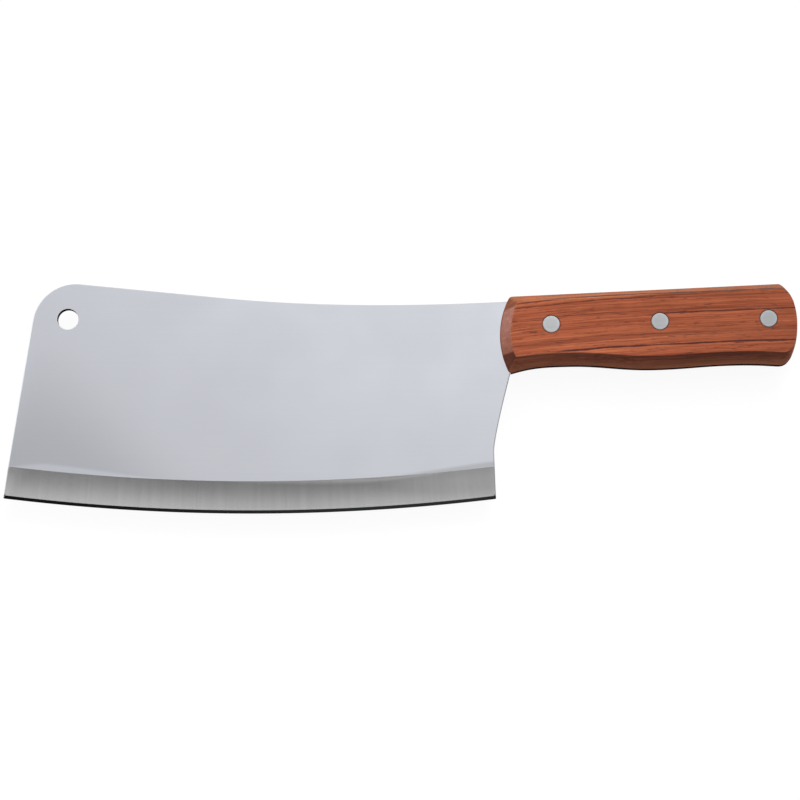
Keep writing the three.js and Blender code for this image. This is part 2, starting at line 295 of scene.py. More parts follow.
def smooth(mesh: BMesh, crisp: Callable[[BMEdge], bool]) -> None:
    """Turns a mesh's faces outwards and shades them smooth, apart from its crisp edges.

    Args:
        mesh: The mesh.
        crisp: Tells whether an edge stays crisp.
    """
    bmesh.ops.recalc_face_normals(mesh, faces=mesh.faces)
    for face in mesh.faces:
        face.smooth = True
    for edge in mesh.edges:
        edge.smooth = not crisp(edge)


def mesh_of(name: str, shape: BMesh) -> Mesh:
    """Turns a bmesh into a mesh, and frees it.

    Args:
        name: The mesh's name.
        shape: The bmesh.

    Returns:
        The mesh.
    """
    mesh = bpy.data.meshes.new(name)
    shape.to_mesh(mesh)
    shape.free()
    return mesh


def new_object(name: str, data: Any) -> Object:
    """Puts a mesh, a lamp or a camera into the scene.

    Args:
        name: The object's name.
        data: What it holds.

    Returns:
        The object.
    """
    made = bpy.data.objects.new(name, data)
    bpy.context.scene.collection.objects.link(made)
    return made


def shape_by(made: Object, tree: NodeTree, values: dict[str, Any]) -> None:
    """Shapes an object with a Geometry Nodes tree, and keeps the result as its plain mesh.

    Args:
        made: The object.
        tree: The tree.
        values: A value for each of the tree's named inputs.
    """
    modifier = made.modifiers.new(tree.name, "NODES")
    modifier.node_group = tree
    for item in tree.interface.items_tree:
        if item.in_out == "INPUT" and item.name in values:
            modifier[item.identifier] = values[item.name]
    graph = bpy.context.evaluated_depsgraph_get()
    mesh = bpy.data.meshes.new_from_object(made.evaluated_get(graph), depsgraph=graph)
    made.modifiers.clear()
    made.data = mesh


# Nodes


def live(sockets: Any, name: str = "") -> list[Socket]:
    """Returns the sockets that are in use, or those of them with a name."""
    return [s for s in sockets if s.enabled and name in ("", s.name)]


class Wiring:
    """Adds nodes to a tree and joins them up."""

    def __init__(self, tree: NodeTree) -> None:
        """Keeps the tree that the nodes go into."""
        self.tree = tree

    def find(self, kind: str) -> Node:
        """Returns the tree's first node of a type."""
        return next(n for n in self.tree.nodes if n.type == kind)

    def feed(self, socket: Socket, value: Any) -> None:
        """Sets an input, or joins it to a socket.

        Args:
            socket: The input.
            value: A value, such as a number or an opaque colour, or a socket.
        """
        if isinstance(value, Socket):
            self.tree.links.new(value, socket)
        else:
            socket.default_value = (*value, 1.0) if socket.type == "RGBA" else value

    def feed_all(self, sockets: Any, values: dict[Any, Any]) -> None:
        """Feeds several inputs, by name or number."""
        for key, value in values.items():
            self.feed(sockets[key], value)

    def node(self, kind: str, inputs: dict[Any, Any] | None = None, **settings: Any) -> Node:
        """Adds a node.

        Args:
            kind: The node's type.
            inputs: Values or sockets for its inputs, by name or number.
            settings: Values for its properties.

        Returns:
            The node.
        """
        node = self.tree.nodes.new(kind)
        for name, value in settings.items():
            setattr(node, name, value)
        self.feed_all(node.inputs, inputs or {})
        return node

    def out(self, kind: str, inputs: dict[Any, Any] | None = None, **settings: Any) -> Socket:
        """Adds a node and returns its first output that is in use."""
        return live(self.node(kind, inputs, **settings).outputs)[0]

    def group(self, tree: NodeTree, inputs: dict[str, Any]) -> Any:
        """Places a shader node group with its own values and returns its outputs."""
        return self.node("ShaderNodeGroup", inputs, node_tree=tree).outputs

    def math(self, operation: str, *values: Any) -> Socket:
        """Adds a Math node and returns its result."""
        return self.out("ShaderNodeMath", dict(enumerate(values)), operation=operation)

    def times(self, *values: Any) -> Socket:
        """Returns the product of two or more values or sockets."""
        return reduce(lambda a, b: self.math("MULTIPLY", a, b), values)

    def vector_math(self, operation: str, *values: Any) -> Socket:
        """Adds a Vector Math node and returns its result."""
        return self.out("ShaderNodeVectorMath", dict(enumerate(values)), operation=operation)

    def spread(
        self, value: Any, low: Any, high: Any, to_low: float = 0.0, to_high: float = 1.0
    ) -> Socket:
        """Maps a value smoothly: low gives to_low, and high gives to_high."""
        inputs = {0: value, 1: low, 2: high, 3: to_low, 4: to_high}
        return self.out("ShaderNodeMapRange", inputs, interpolation_type="SMOOTHSTEP")

    def split(self, vector: Any) -> list[Socket]:
        """Returns a vector's three parts."""
        return list(self.node("ShaderNodeSeparateXYZ", {0: vector}).outputs)

    def join(self, x: Any, y: Any, z: Any) -> Socket:
        """Returns a vector made of three parts."""
        return self.out("ShaderNodeCombineXYZ", {0: x, 1: y, 2: z})

    def grey(self, value: Any) -> Socket:
        """Returns a value as a grey colour."""
        return self.out("ShaderNodeCombineColor", {0: value, 1: value, 2: value})

    def mix(self, share: Any, a: Any, b: Any, blend: str = "MIX") -> Socket:
        """Mixes two colours.

        Args:
            share: The share of the second.
            a: The first colour.
            b: The second colour.
            blend: How they are mixed.

        Returns:
            The colour.
        """
        node = self.node("ShaderNodeMix", data_type="RGBA", blend_type=blend)
        for name, value in (("Factor", share), ("A", a), ("B", b)):
            self.feed(live(node.inputs, name)[0], value)
        return live(node.outputs)[0]

    def tint(self, colour: Any, factor: Any) -> Socket:
        """Returns a colour multiplied by another."""
        return self.mix(1.0, colour, factor, "MULTIPLY")

    def shade(self, colour: Any, factor: Any) -> Socket:
        """Returns a colour multiplied by a value."""
        return self.tint(colour, self.grey(factor))

    def noise(
        self, vector: Any, scale: float = 1.0, detail: float = 2.0, roughness: float = 0.5
    ) -> Socket:
        """Returns a noise's value at a place."""
        inputs = {"Vector": vector, "Scale": scale, "Detail": detail, "Roughness": roughness}
        return self.out("ShaderNodeTexNoise", inputs)

    def curve(
        self, value: Socket, points: Sequence[tuple[float, float]], straight: bool = False
    ) -> Socket:
        """Adds a Float Curve.

        Args:
            value: Where the curve is read, from 0 to 1.
            points: The curve's points, from 0 to 1 both ways.
            straight: Whether it runs straight from point to point.

        Returns:
            The curve's value.
        """
        node = self.node("ShaderNodeFloatCurve", {"Value": value})
        line = node.mapping.curves[0]
        while len(line.points) < len(points):
            line.points.new(0.5, 0.5)
        for point, location in zip(line.points, points):
            point.location = location
            point.handle_type = "VECTOR" if straight else "AUTO_CLAMPED"
        node.mapping.update()
        return node.outputs[0]


def floats(*names: str) -> dict[str, str]:
    """Returns a group's named inputs or outputs that are plain numbers."""
    return dict.fromkeys(names, "Float")


def new_group(
    name: str, inputs: dict[str, str], outputs: dict[str, str], kind: str = "ShaderNodeTree"
) -> tuple[Wiring, Any, Any]:
    """Starts a node group.

    Args:
        name: The group's name.
        inputs: Its inputs' socket types, by name.
        outputs: Its outputs' socket types, by name.
        kind: The tree's type.

    Returns:
        The wiring of its tree, the values that come in and the sockets that lead out.
    """
    tree = bpy.data.node_groups.new(name, kind)
    for way, sockets in (("INPUT", inputs), ("OUTPUT", outputs)):
        for socket, socket_type in sockets.items():
            tree.interface.new_socket(socket, in_out=way, socket_type="NodeSocket" + socket_type)
    wiring = Wiring(tree)
    return wiring, wiring.node("NodeGroupInput").outputs, wiring.node("NodeGroupOutput").inputs


def new_material(name: str) -> tuple[Material, Wiring, Node]:
    """Starts a material.

    Args:
        name: The material's name.

    Returns:
        The material, the wiring of its tree and its Principled BSDF.
    """
    material = bpy.data.materials.new(name)
    material.use_nodes = True
    wiring = Wiring(material.node_tree)
    return material, wiring, wiring.find("BSDF_PRINCIPLED")


# Handle


@dataclass(frozen=True)
class Handle:
    """The two wooden scales, chamfered all round, with seats for the rivets."""

    length: float = 122.6
    rise: float = 1.5
    top_at_front: float = 13.4
    top_at_butt: float = 16.1
    front_radius: float = 34.5
    front_centre_drop: float = 3.6
    butt_radius: float = 30.8
    butt_centre_drop: float = 1.1
    toe_drop: float = 18.6
    toe_angle: float = 16.0
    groove_from_front: float = 27.5
    groove_drop: float = 15.85
    swell_from_front: float = 63.4
    swell_drop: float = 18.15
    waist_from_butt: float = 26.6
    waist_drop: float = 17.1
    butt_drop: float = 18.25
    butt_flare_angle: float = 5.0
    grip_softness: float = 0.4
    front_corner: float = 1.2
    butt_top_corner: float = 5.6
    top_butt_corner: float = 2.2
    butt_low_corner: float = 3.5
    thickness: float = 8.8
    chamfer_inset: float = 3.7
    front_inset: float = 4.2
    toe_inset: float = 5.4
    butt_inset: float = 1.2
    face_toe_angle: float = 4.0
    arris_round: float = 0.5
    tang_face: float = 2.0
    first_rivet: float = 20.8
    last_rivet_from_butt: float = 12.8
    rivet_count: int = 3
    seat_radius: float = 3.6
    seat_depth: float = 1.6
    seat_break: float = 0.1
    bore_radius: float = 2.65
    side_steps: int = 24
    draft_steps: int = 192
    corner_steps: int = 8
    round_sides: int = 64

    @property
    def rivet_pitch(self) -> float:
        """The distance from one rivet to the next."""
        return (self.length - self.first_rivet - self.last_rivet_from_butt) / (self.rivet_count - 1)

    @property
    def rivet_places(self) -> list[Vector]:
        """The rivets' places along the handle's axis."""
        numbers = range(self.rivet_count)
        return [Vector((self.first_rivet + k * self.rivet_pitch, 0.0)) for k in numbers]

    def outline(self, share: float) -> list[Vector]:
        """Draws the handle's outline, drawn in by a share of the chamfers.

        Args:
            share: 0 on the tang, 1 at the arris.

        Returns:
            An anticlockwise loop from the toe: grip, butt, top and front.
        """
        inset = share * self.chamfer_inset
        front_centre = Vector((self.front_radius, -self.front_centre_drop))
        butt_centre = Vector((self.length - self.butt_radius, -self.butt_centre_drop))
        front_radius = self.front_radius - share * self.front_inset
        butt_radius = self.butt_radius - share * self.butt_inset

        top_start = Vector((0.0, self.top_at_front - inset))
        top_slope = Vector((self.length, self.top_at_butt - self.top_at_front)).normalized()
        front_top = last_on_circle(front_centre, front_radius, top_start, -top_slope)
        butt_top = last_on_circle(butt_centre, butt_radius, top_start, top_slope)
        toe_level = Vector((0.0, share * self.toe_inset - self.toe_drop))
        toe = last_on_circle(front_centre, front_radius, toe_level, Vector((-1.0, 0.0)))
        butt_level = Vector((0.0, inset - self.butt_drop))
        butt_low = last_on_circle(butt_centre, butt_radius, butt_level, Vector((1.0, 0.0)))

        nodes = [
            (toe, self.toe_angle + (self.face_toe_angle - self.toe_angle) * share),
            (Vector((self.groove_from_front, inset - self.groove_drop)), 0.0),
            (Vector((self.swell_from_front, inset - self.swell_drop)), 0.0),
            (Vector((self.length - self.waist_from_butt, inset - self.waist_drop)), 0.0),
            (butt_low, -self.butt_flare_angle),
        ]
        grip = self._grip(nodes)
        steps = self.side_steps
        butt_from, butt_to = (angle_of(end - butt_centre) for end in (butt_low, butt_top))
        front_from, front_to = (angle_of(end - front_centre) for end in (front_top, toe))
        butt = arc(butt_centre, butt_radius, butt_from - 360, butt_to, self.draft_steps)
        front = arc(front_centre, front_radius, front_from, front_to, self.draft_steps)
        return self._rounded(
            [
                (grip, (len(nodes) - 1) * steps, self.butt_low_corner, self.butt_low_corner),
                (butt, steps, self.butt_top_corner, self.top_butt_corner),
                ([butt_top, front_top], steps, self.front_corner, self.front_corner),
                (front, steps, self.front_corner, self.front_corner),
            ]
        )

    def _grip(self, nodes: Sequence[tuple[Vector, float]]) -> list[Vector]:
        """Draws a smooth curve through the grip's nodes.

        Args:
            nodes: Each node's place and slope.

        Returns:
            The curve's points.
        """
        points: list[Vector] = [nodes[0][0]]
        for (start, leaving), (end, arriving) in zip(nodes, nodes[1:]):
            reach = self.grip_softness * (end.x - start.x)
            first, last = start + heading(leaving) * reach, end - heading(arriving) * reach
            points += bezier([start, first, last, end], self.draft_steps)[1:]
        return points

    def _rounded(self, sides: Sequence[tuple[list[Vector], int, float, float]]) -> list[Vector]:
        """Joins sides into a loop with rounded corners.

        Args:
            sides: Each side's points, its steps, and how far its last corner is rounded off, along
                it and along the next side.

        Returns:
            The loop's points.
        """
        loop: list[Vector] = []
        for k, (path, steps, cut, next_cut) in enumerate(sides):
            after = sides[(k + 1) % len(sides)][0]
            loop += stretch(path, sides[k - 1][3], length_of(path) - cut, steps)
            joined = stretch(after, next_cut, next_cut, 1)[0]
            loop += bezier([loop[-1], path[-1], joined], self.corner_steps)[1:-1]
        return loop

    def _section(self) -> list[Vector]:
        """Draws the scale's section.

        Returns:
            The inset and the height above the tang of each level, up to the flat face.
        """
        arris = Vector((self.chamfer_inset, self.thickness))
        wall_end = arris - arris.normalized() * self.arris_round
        face_start = arris + Vector((self.arris_round, 0.0))
        return [Vector((0.0, 0.0)), *bezier([wall_end, arris, face_start], self.corner_steps)]

    def build_scale(self, name: str, side: int, drawing: Drawing) -> Object:
        """Makes one scale as a closed mesh, with a stepped seat for each rivet.

        Args:
            name: The piece's name.
            side: 1 for the scale on the blade's front, -1 for the other.
            drawing: Where the drawing lies.

        Returns:
            The scale.
        """
        mesh = bmesh.new()
        wear = mesh.verts.layers.float.new("wear")

        def ring_of(loop: Sequence[Vector], height: float) -> list[BMVert]:
            """Adds a ring of vertices at a height above the tang."""
            level = side * (self.tang_face + height)
            return drawing.ring(mesh, [turned(p, self.rise) for p in loop], level)

        levels = self._section()
        outlines = [self.outline(level.x / self.chamfer_inset) for level in levels]
        rings = [ring_of(loop, level.y) for loop, level in zip(outlines, levels)]
        loft(mesh, rings)
        for k, ring in enumerate(rings[1:]):
            for vertex in ring:
                vertex[wear] = math.sin(math.pi * k / self.corner_steps)

        floor = self.thickness - self.seat_depth
        steps = [
            (self.seat_radius + self.seat_break, self.thickness),
            (self.seat_radius, self.thickness - self.seat_break),
            (self.seat_radius, floor),
            (self.bore_radius, floor),
            (self.bore_radius, 0.0),
        ]
        face, back = ([outlines[-1]], [rings[-1]]), ([outlines[0]], [rings[0]])
        for place in self.rivet_places:
            circles = [circle(place, radius, self.round_sides) for radius, _ in steps]
            seat = [ring_of(points, height) for points, (_, height) in zip(circles, steps)]
            loft(mesh, seat)
            for (loops, vertices), end in ((face, 0), (back, -1)):
                loops.append(circles[end])
                vertices.append(seat[end])

        flat = {f for loops, vertices in (face, back) for f in fill(mesh, loops, vertices)}
        smooth(mesh, lambda edge: len({f in flat for f in edge.link_faces}) > 1)
        return new_object(name, mesh_of(name, mesh))


# Blade


class Finish(IntEnum):
    """The finish that a face of the blade has."""

    FLAT = 0
    GROUND = 1
    EDGE = 2
    RIM = 3
    DARK = 4
    HOLE_RIM = 5
    SPINE = 6


@dataclass(frozen=True)
class Blade:
    """The blade and its tang: one plate with broken rims, hollow-ground along its edge."""

    length: float = 203.2
    thickness: float = 4.0
    spine_at_handle: float = 11.45
    spine_at_sway: float = 13.2
    sway_length: float = 115.0
    sway_softness: float = 0.333
    spine_angle: float = 5.6
    sway_end_angle: float = 2.8
    tip_angle: float = 8.3
    tip_corner_radius: float = 18.0
    tip_toe_radius: float = 0.4
    edge_radius: float = 828.0
    edge_drop: float = 76.2
    edge_low_point: float = 101.7
    heel_setback: float = 1.8
    heel_waist_setback: float = 2.55
    heel_waist_rise: float = 18.8
    heel_waist_softening: float = 5.8
    grind_width: float = 13.1
    wheel_radius: float = 100.0
    bevel_width: float = 1.3
    bevel_thickness: float = 1.3
    edge_thickness: float = 0.2
    hole_diameter: float = 8.7
    hole_from_spine: float = 15.1
    hole_from_tip: float = 14.3
    rim_round: float = 0.38
    hole_break: float = 0.12
    butt_heading: float = 0.5
    edge_steps: int = 240
    grind_rows: int = 16
    rim_steps: int = 4
    curve_steps: int = 48
    round_sides: int = 96

    @property
    def edge_centre(self) -> Vector:
        """The centre of the edge's arc."""
        return Vector((-self.edge_low_point, self.edge_radius - self.edge_drop))

    @property
    def hole_place(self) -> Vector:
        """The centre of the hanging hole."""
        return self._inset_corner(self.hole_from_tip, self.hole_from_spine)

    @property
    def row_radii(self) -> list[float]:
        """The ground rows' radii about the edge's centre, from the shoulder to the edge bevel."""
        start, end = (self.edge_radius - width for width in (self.grind_width, self.bevel_width))
        return [start + (end - start) * k / (self.grind_rows - 1) for k in range(self.grind_rows)]

    def _edge_at(self, x: float) -> Vector:
        """Returns the point of the edge's arc at a length."""
        start, down = Vector((x, 0.0)), Vector((0.0, -1.0))
        return last_on_circle(self.edge_centre, self.edge_radius, start, down)

    def _inset_corner(self, from_tip: float, from_spine: float) -> Vector:
        """Finds the point at given distances inside the tip's line and the spine's.

        Args:
            from_tip: The distance inside the tip's line.
            from_spine: The distance inside the spine's line.

        Returns:
            The point.
        """
        tip = self._edge_at(-self.length) + heading(-self.tip_angle) * from_tip
        sway = Vector((-self.sway_length, self.spine_at_sway))
        spine = sway + heading(-90 - self.spine_angle) * from_spine
        return crossing(tip, heading(90 - self.tip_angle), spine, heading(-self.spine_angle))

    def _edge_side(self) -> tuple[list[Vector], list[Vector]]:
        """Draws the edge's arc, and the small round at its toe that leads into it.

        Returns:
            The arc's points from toe to heel, and the round's points before it.
        """
        centre = self.edge_centre
        inward = self._edge_at(-self.length) + heading(-self.tip_angle) * self.tip_toe_radius
        down = -heading(90 - self.tip_angle)
        toe = last_on_circle(centre, self.edge_radius - self.tip_toe_radius, inward, down)
        toe_angle = angle_of(toe - centre)
        heel_angle = angle_of(self._edge_at(-self.heel_setback) - centre)
        edge = arc(centre, self.edge_radius, toe_angle, heel_angle, self.edge_steps)
        lead = arc(toe, self.tip_toe_radius, 180 - self.tip_angle, toe_angle, self.rim_steps)
        return edge, lead[:-1]

    def _heel_side(self, root: Vector) -> tuple[list[Vector], list[Vector]]:
        """Draws the heel.

        Args:
            root: Where it ends, inside the tang.

        Returns:
            The ends of the ground rows, from the edge bevel up, and the heel's curve from the root
            down.
        """
        corner = self._edge_at(-self.heel_setback)
        waist = Vector((-self.heel_waist_setback, corner.y + self.heel_waist_rise))
        down = (corner - waist).normalized()
        rows = [last_on_circle(self.edge_centre, r, waist, down) for r in reversed(self.row_radii)]
        control = waist - down * self.heel_waist_softening
        return rows, bezier([root, control, waist], self.curve_steps)

    def _spine_side(self, reach: float) -> list[Vector]:
        """Draws the spine and the tip's corner.

        Args:
            reach: How far the spine runs on into the tang.

        Returns:
            Points from inside the tang to the tip's line.
        """
        start = Vector((-self.sway_length, self.spine_at_sway))
        end = Vector((0.0, self.spine_at_handle))
        rise = heading(self.sway_end_angle)
        soft = self.sway_length * self.sway_softness
        controls = [end, end - rise * soft, start + heading(-self.spine_angle) * soft, start]
        radius = self.tip_corner_radius
        corner = self._inset_corner(radius, radius)
        tip = arc(corner, radius, 90 - self.spine_angle, 180 - self.tip_angle, self.curve_steps)
        return [end + rise * reach, *bezier(controls, self.curve_steps), *tip]

    def _tip_rows(self) -> list[Vector]:
        """Finds where the ground rows end on the tip's line.

        Returns:
            The ends, from the shoulder down.
        """
        down = -heading(90 - self.tip_angle)
        above = self._edge_at(-self.length) - down * 2 * self.grind_width
        return [last_on_circle(self.edge_centre, r, above, down) for r in self.row_radii]

    def build(self, handle: Handle, drawing: Drawing, finishes: dict[Finish, Material]) -> Object:
        """Makes the blade.

        Args:
            handle: The handle, whose outline the tang has.
            drawing: Where the drawing lies.
            finishes: A material for each finish.

        Returns:
            The blade.
        """
        outline = handle.outline(0.0)
        tang = [turned(p, handle.rise) for p in outline]
        root = turned(outline[0] + Vector((0.0, 2 * handle.front_corner)), handle.rise)
        edge, toe = self._edge_side()
        heel_rows, heel = self._heel_side(root)
        spine = self._spine_side(2 * root.x)
        heel_step, tang_start, heel_end = first_meeting(heel, tang)
        spine_step, tang_end, spine_start = first_meeting(spine, tang)
        count = len(tang)
        numbers = range((tang_end - tang_start) % count)
        along = [tang[(tang_start + 1 + k) % count] for k in numbers]

        # The butt starts where the outline turns up from the grip.
        headings = [(b - a).normalized().x for a, b in zip(along, along[1:])]
        butt_at = next(k for k, x in enumerate(headings) if x < self.butt_heading)
        sides = [
            (edge, Finish.EDGE),
            (heel_rows, Finish.RIM),
            ([*heel[heel_step + 1 :][::-1], heel_end], Finish.RIM),
            # The tang's edge under the grip gets near-black steel, a painted shade.
            (along[:butt_at], Finish.DARK),
            (along[butt_at:], Finish.SPINE),
            ([spine_start, *spine[spine_step + 1 :]], Finish.SPINE),
            (self._tip_rows(), Finish.SPINE),
            (toe, Finish.EDGE),
        ]
        bores = [turned(p, handle.rise) for p in handle.rivet_places]
        holes = [(self.hole_place, self.hole_diameter / 2, self.hole_break)]
        holes += [(bore, handle.bore_radius, self.rim_round) for bore in bores]
        plate = self._plate(sides, holes, drawing)
        made = new_object("blade_body", mesh_of("blade_steel", plate))
        self._grind(made, drawing, finishes)
        return made

    def _rim_levels(self, size: float) -> list[tuple[float, float]]:
        """Draws the rim of the plate or of a hole, rounded off at both faces.

        Args:
            size: The radius of the rounding.

        Returns:
            The inset and the height of each level, from the upper face to the lower.
        """
        half = self.thickness / 2
        turns = [math.pi / 2 * k / self.rim_steps for k in range(self.rim_steps + 1)]
        upper = [(size * (1 - math.sin(t)), half - size * (1 - math.cos(t))) for t in turns]
        return upper + [(inset, -height) for inset, height in reversed(upper)]

    def _plate(
        self,
        sides: Sequence[tuple[list[Vector], Finish]],
        holes: Sequence[tuple[Vector, float, float]],
        drawing: Drawing,
    ) -> BMesh:
        """Makes the plate, still flat, with a grid of rows where it is to be ground.

        Args:
            sides: Each side's points and the finish of its rim: edge, heel rows, heel, tang below,
                tang above, spine, tip rows and toe.
            holes: Each hole's centre, radius and broken rim.
            drawing: Where the drawing lies.

        Returns:
            The plate's mesh.
        """
        mesh = bmesh.new()
        finish = mesh.faces.layers.int.new("finish")
        loop = [p for side, _ in sides for p in side]
        kinds = [kind for side, kind in sides for _ in side]
        starts = [sum(len(side) for side, _ in sides[:k]) for k in range(len(sides))]
        levels = self._rim_levels(self.rim_round)
        rings = [drawing.ring(mesh, inset_loop(loop, inset), height) for inset, height in levels]
        for faces in loft(mesh, rings):
            for face, kind in zip(faces, kinds):
                face[finish] = kind

        hole_loops, bores = [], []
        for place, radius, broken in holes:
            levels = self._rim_levels(broken)
            circles = [circle(place, radius + inset, self.round_sides) for inset, _ in levels]
            bore = [drawing.ring(mesh, points, z) for points, (_, z) in zip(circles, levels)]
            for k, faces in enumerate(loft(mesh, bore)):
                for face in faces:
                    # The holes' walls get near-black steel, a painted shade.
                    face[finish] = Finish.DARK if k == self.rim_steps else Finish.HOLE_RIM
            hole_loops.append(circles[0])
            bores.append(bore)

        places = inset_loop(loop, self.rim_round)
        for end, height in ((0, self.thickness / 2), (-1, -self.thickness / 2)):
            rim = (rings[end], places, starts)
            self._face(mesh, rim, ([bore[end] for bore in bores], hole_loops), height, drawing)

        def crisp(edge: BMEdge) -> bool:
            """Tells whether an edge bounds the flat, or parts the hollow from the edge bevel."""
            both = {face[finish] for face in edge.link_faces}
            return len(both) == 2 and (Finish.FLAT in both or both == {Finish.GROUND, Finish.EDGE})

        smooth(mesh, crisp)
        return mesh

    def _face(
        self,
        mesh: BMesh,
        rim: tuple[list[BMVert], list[Vector], list[int]],
        holes: tuple[list[list[BMVert]], list[list[Vector]]],
        height: float,
        drawing: Drawing,
    ) -> None:
        """Fills one face of the plate: the flat, the ground rows and the strip of the edge bevel.

        Args:
            mesh: The plate's mesh.
            rim: The rim's vertices on this face, their places, and the numbers that start its
                sides.
            holes: The vertices and the places of the holes' rims.
            height: The face's height.
            drawing: Where the drawing lies.
        """
        finish = mesh.faces.layers.int["finish"]
        ring, places, starts = rim
        edge_at, heel_at, past_heel, *_, tip_at, toe_at = starts
        centre = self.edge_centre
        rows, row_places = [], []
        for k, radius in enumerate(self.row_radii):
            left, right = tip_at + k, heel_at + self.grind_rows - 1 - k
            angles = [angle_of(places[i] - centre) for i in (left, right)]
            middle = arc(centre, radius, *angles, self.edge_steps)[1:-1]
            rows.append([ring[left], *drawing.ring(mesh, middle, height), ring[right]])
            row_places.append(middle)
        bevel, edge = rows[-1], ring[edge_at : edge_at + self.edge_steps + 1]

        strips = [(upper, lower, 0, Finish.GROUND) for upper, lower in zip(rows, rows[1:])]
        for upper, lower, first, kind in (*strips, (bevel, edge, 1, Finish.EDGE)):
            for k in range(first, self.edge_steps):
                face = mesh.faces.new((upper[k], lower[k], lower[k + 1], upper[k + 1]))
                face[finish] = kind
        corner = mesh.faces.new((bevel[0], *ring[toe_at:], edge[0], edge[1], bevel[1]))
        corner[finish] = Finish.EDGE

        around = slice(past_heel - 1, tip_at + 1)
        hole_rings, hole_loops = holes
        loops = [places[around] + row_places[0], *hole_loops]
        for face in fill(mesh, loops, [ring[around] + rows[0][1:-1], *hole_rings]):
            face[finish] = Finish.FLAT

    def _wheel_centre(self) -> Vector:
        """Finds the grinding wheel's centre.

        Returns:
            Its radius about the edge's centre, and its height.
        """
        shoulder = Vector((self.edge_radius - self.grind_width, self.thickness / 2))
        bevel = Vector((self.edge_radius - self.bevel_width, self.bevel_thickness / 2))
        chord = bevel - shoulder
        away = math.sqrt(self.wheel_radius**2 - chord.length_squared / 4)
        return (shoulder + bevel) / 2 + chord.orthogonal().normalized() * away

    def _grind(self, made: Object, drawing: Drawing, finishes: dict[Finish, Material]) -> None:
        """Grinds the plate with Geometry Nodes, and gives each face the material of its finish.

        Args:
            made: The plate.
            drawing: Where the drawing lies.
            finishes: A material for each finish.
        """
        wheel_centre = self._wheel_centre()
        sizes = {
            "Edge Radius": self.edge_radius,
            "Plate Thickness": self.thickness,
            "Bevel Width": self.bevel_width,
            "Bevel Thickness": self.bevel_thickness,
            "Edge Thickness": self.edge_thickness,
            "Wheel Radius": self.wheel_radius,
            "Wheel Centre Radius": wheel_centre.x,
            "Wheel Centre Height": wheel_centre.y,
        }
        shape = {"Geometry": "Geometry"}
        inputs = shape | {"Edge Centre": "Vector"} | floats("Middle Height", *sizes)
        w, value, end = new_group("hollow_grind", inputs, shape, "GeometryNodeTree")
        x, y, z = w.split(w.out("GeometryNodeInputPosition"))
        out = w.vector_math("SUBTRACT", w.join(x, y, 0.0), value["Edge Centre"])
        radius = w.vector_math("LENGTH", out)

        # The hollow is part of the wheel's circle.
        across = w.math("SUBTRACT", radius, value["Wheel Centre Radius"])
        wheel_squared = w.times(value["Wheel Radius"], value["Wheel Radius"])
        squared = w.math("SUBTRACT", wheel_squared, w.times(across, across))
        rise = w.math("SQRT", w.math("MAXIMUM", squared, 0.0))
        hollow = w.math("SUBTRACT", value["Wheel Centre Height"], rise)

        # The edge bevel falls straight from the bevel's thickness to the edge's.
        fall = w.math("SUBTRACT", value["Bevel Thickness"], value["Edge Thickness"])
        slope = w.math("DIVIDE", w.times(fall, 0.5), value["Bevel Width"])
        inside = w.math("MAXIMUM", w.math("SUBTRACT", value["Edge Radius"], radius), 0.0)
        straight = w.math("MULTIPLY_ADD", inside, slope, w.times(value["Edge Thickness"], 0.5))

        half = w.times(value["Plate Thickness"], 0.5)
        ground = w.math("MINIMUM", half, w.math("MINIMUM", hollow, straight))
        share = w.math("DIVIDE", ground, half)
        level = w.math("SUBTRACT", z, value["Middle Height"])
        moved = w.join(x, y, w.math("MULTIPLY_ADD", level, share, value["Middle Height"]))
        position = {"Geometry": value["Geometry"], "Position": moved}
        last = w.out("GeometryNodeSetPosition", position)
        last = w.out("GeometryNodeRealizeInstances", {"Geometry": last})
        number = w.out("GeometryNodeInputNamedAttribute", {"Name": "finish"}, data_type="INT")
        for kind, material in finishes.items():
            same = w.node("FunctionNodeCompare", data_type="INT", operation="EQUAL")
            w.feed_all(live(same.inputs), {0: number, 1: int(kind)})
            chosen = {"Geometry": last, "Selection": same.outputs[0], "Material": material}
            last = w.out("GeometryNodeSetMaterial", chosen)
        w.feed(end["Geometry"], last)

        centre = drawing.point(self.edge_centre, 0.0)
        values = {"Edge Centre": (centre.x, centre.y, 0.0), "Middle Height": centre.z}
        shape_by(made, w.tree, values | {name: size * MM for name, size in sizes.items()})


# Rivets


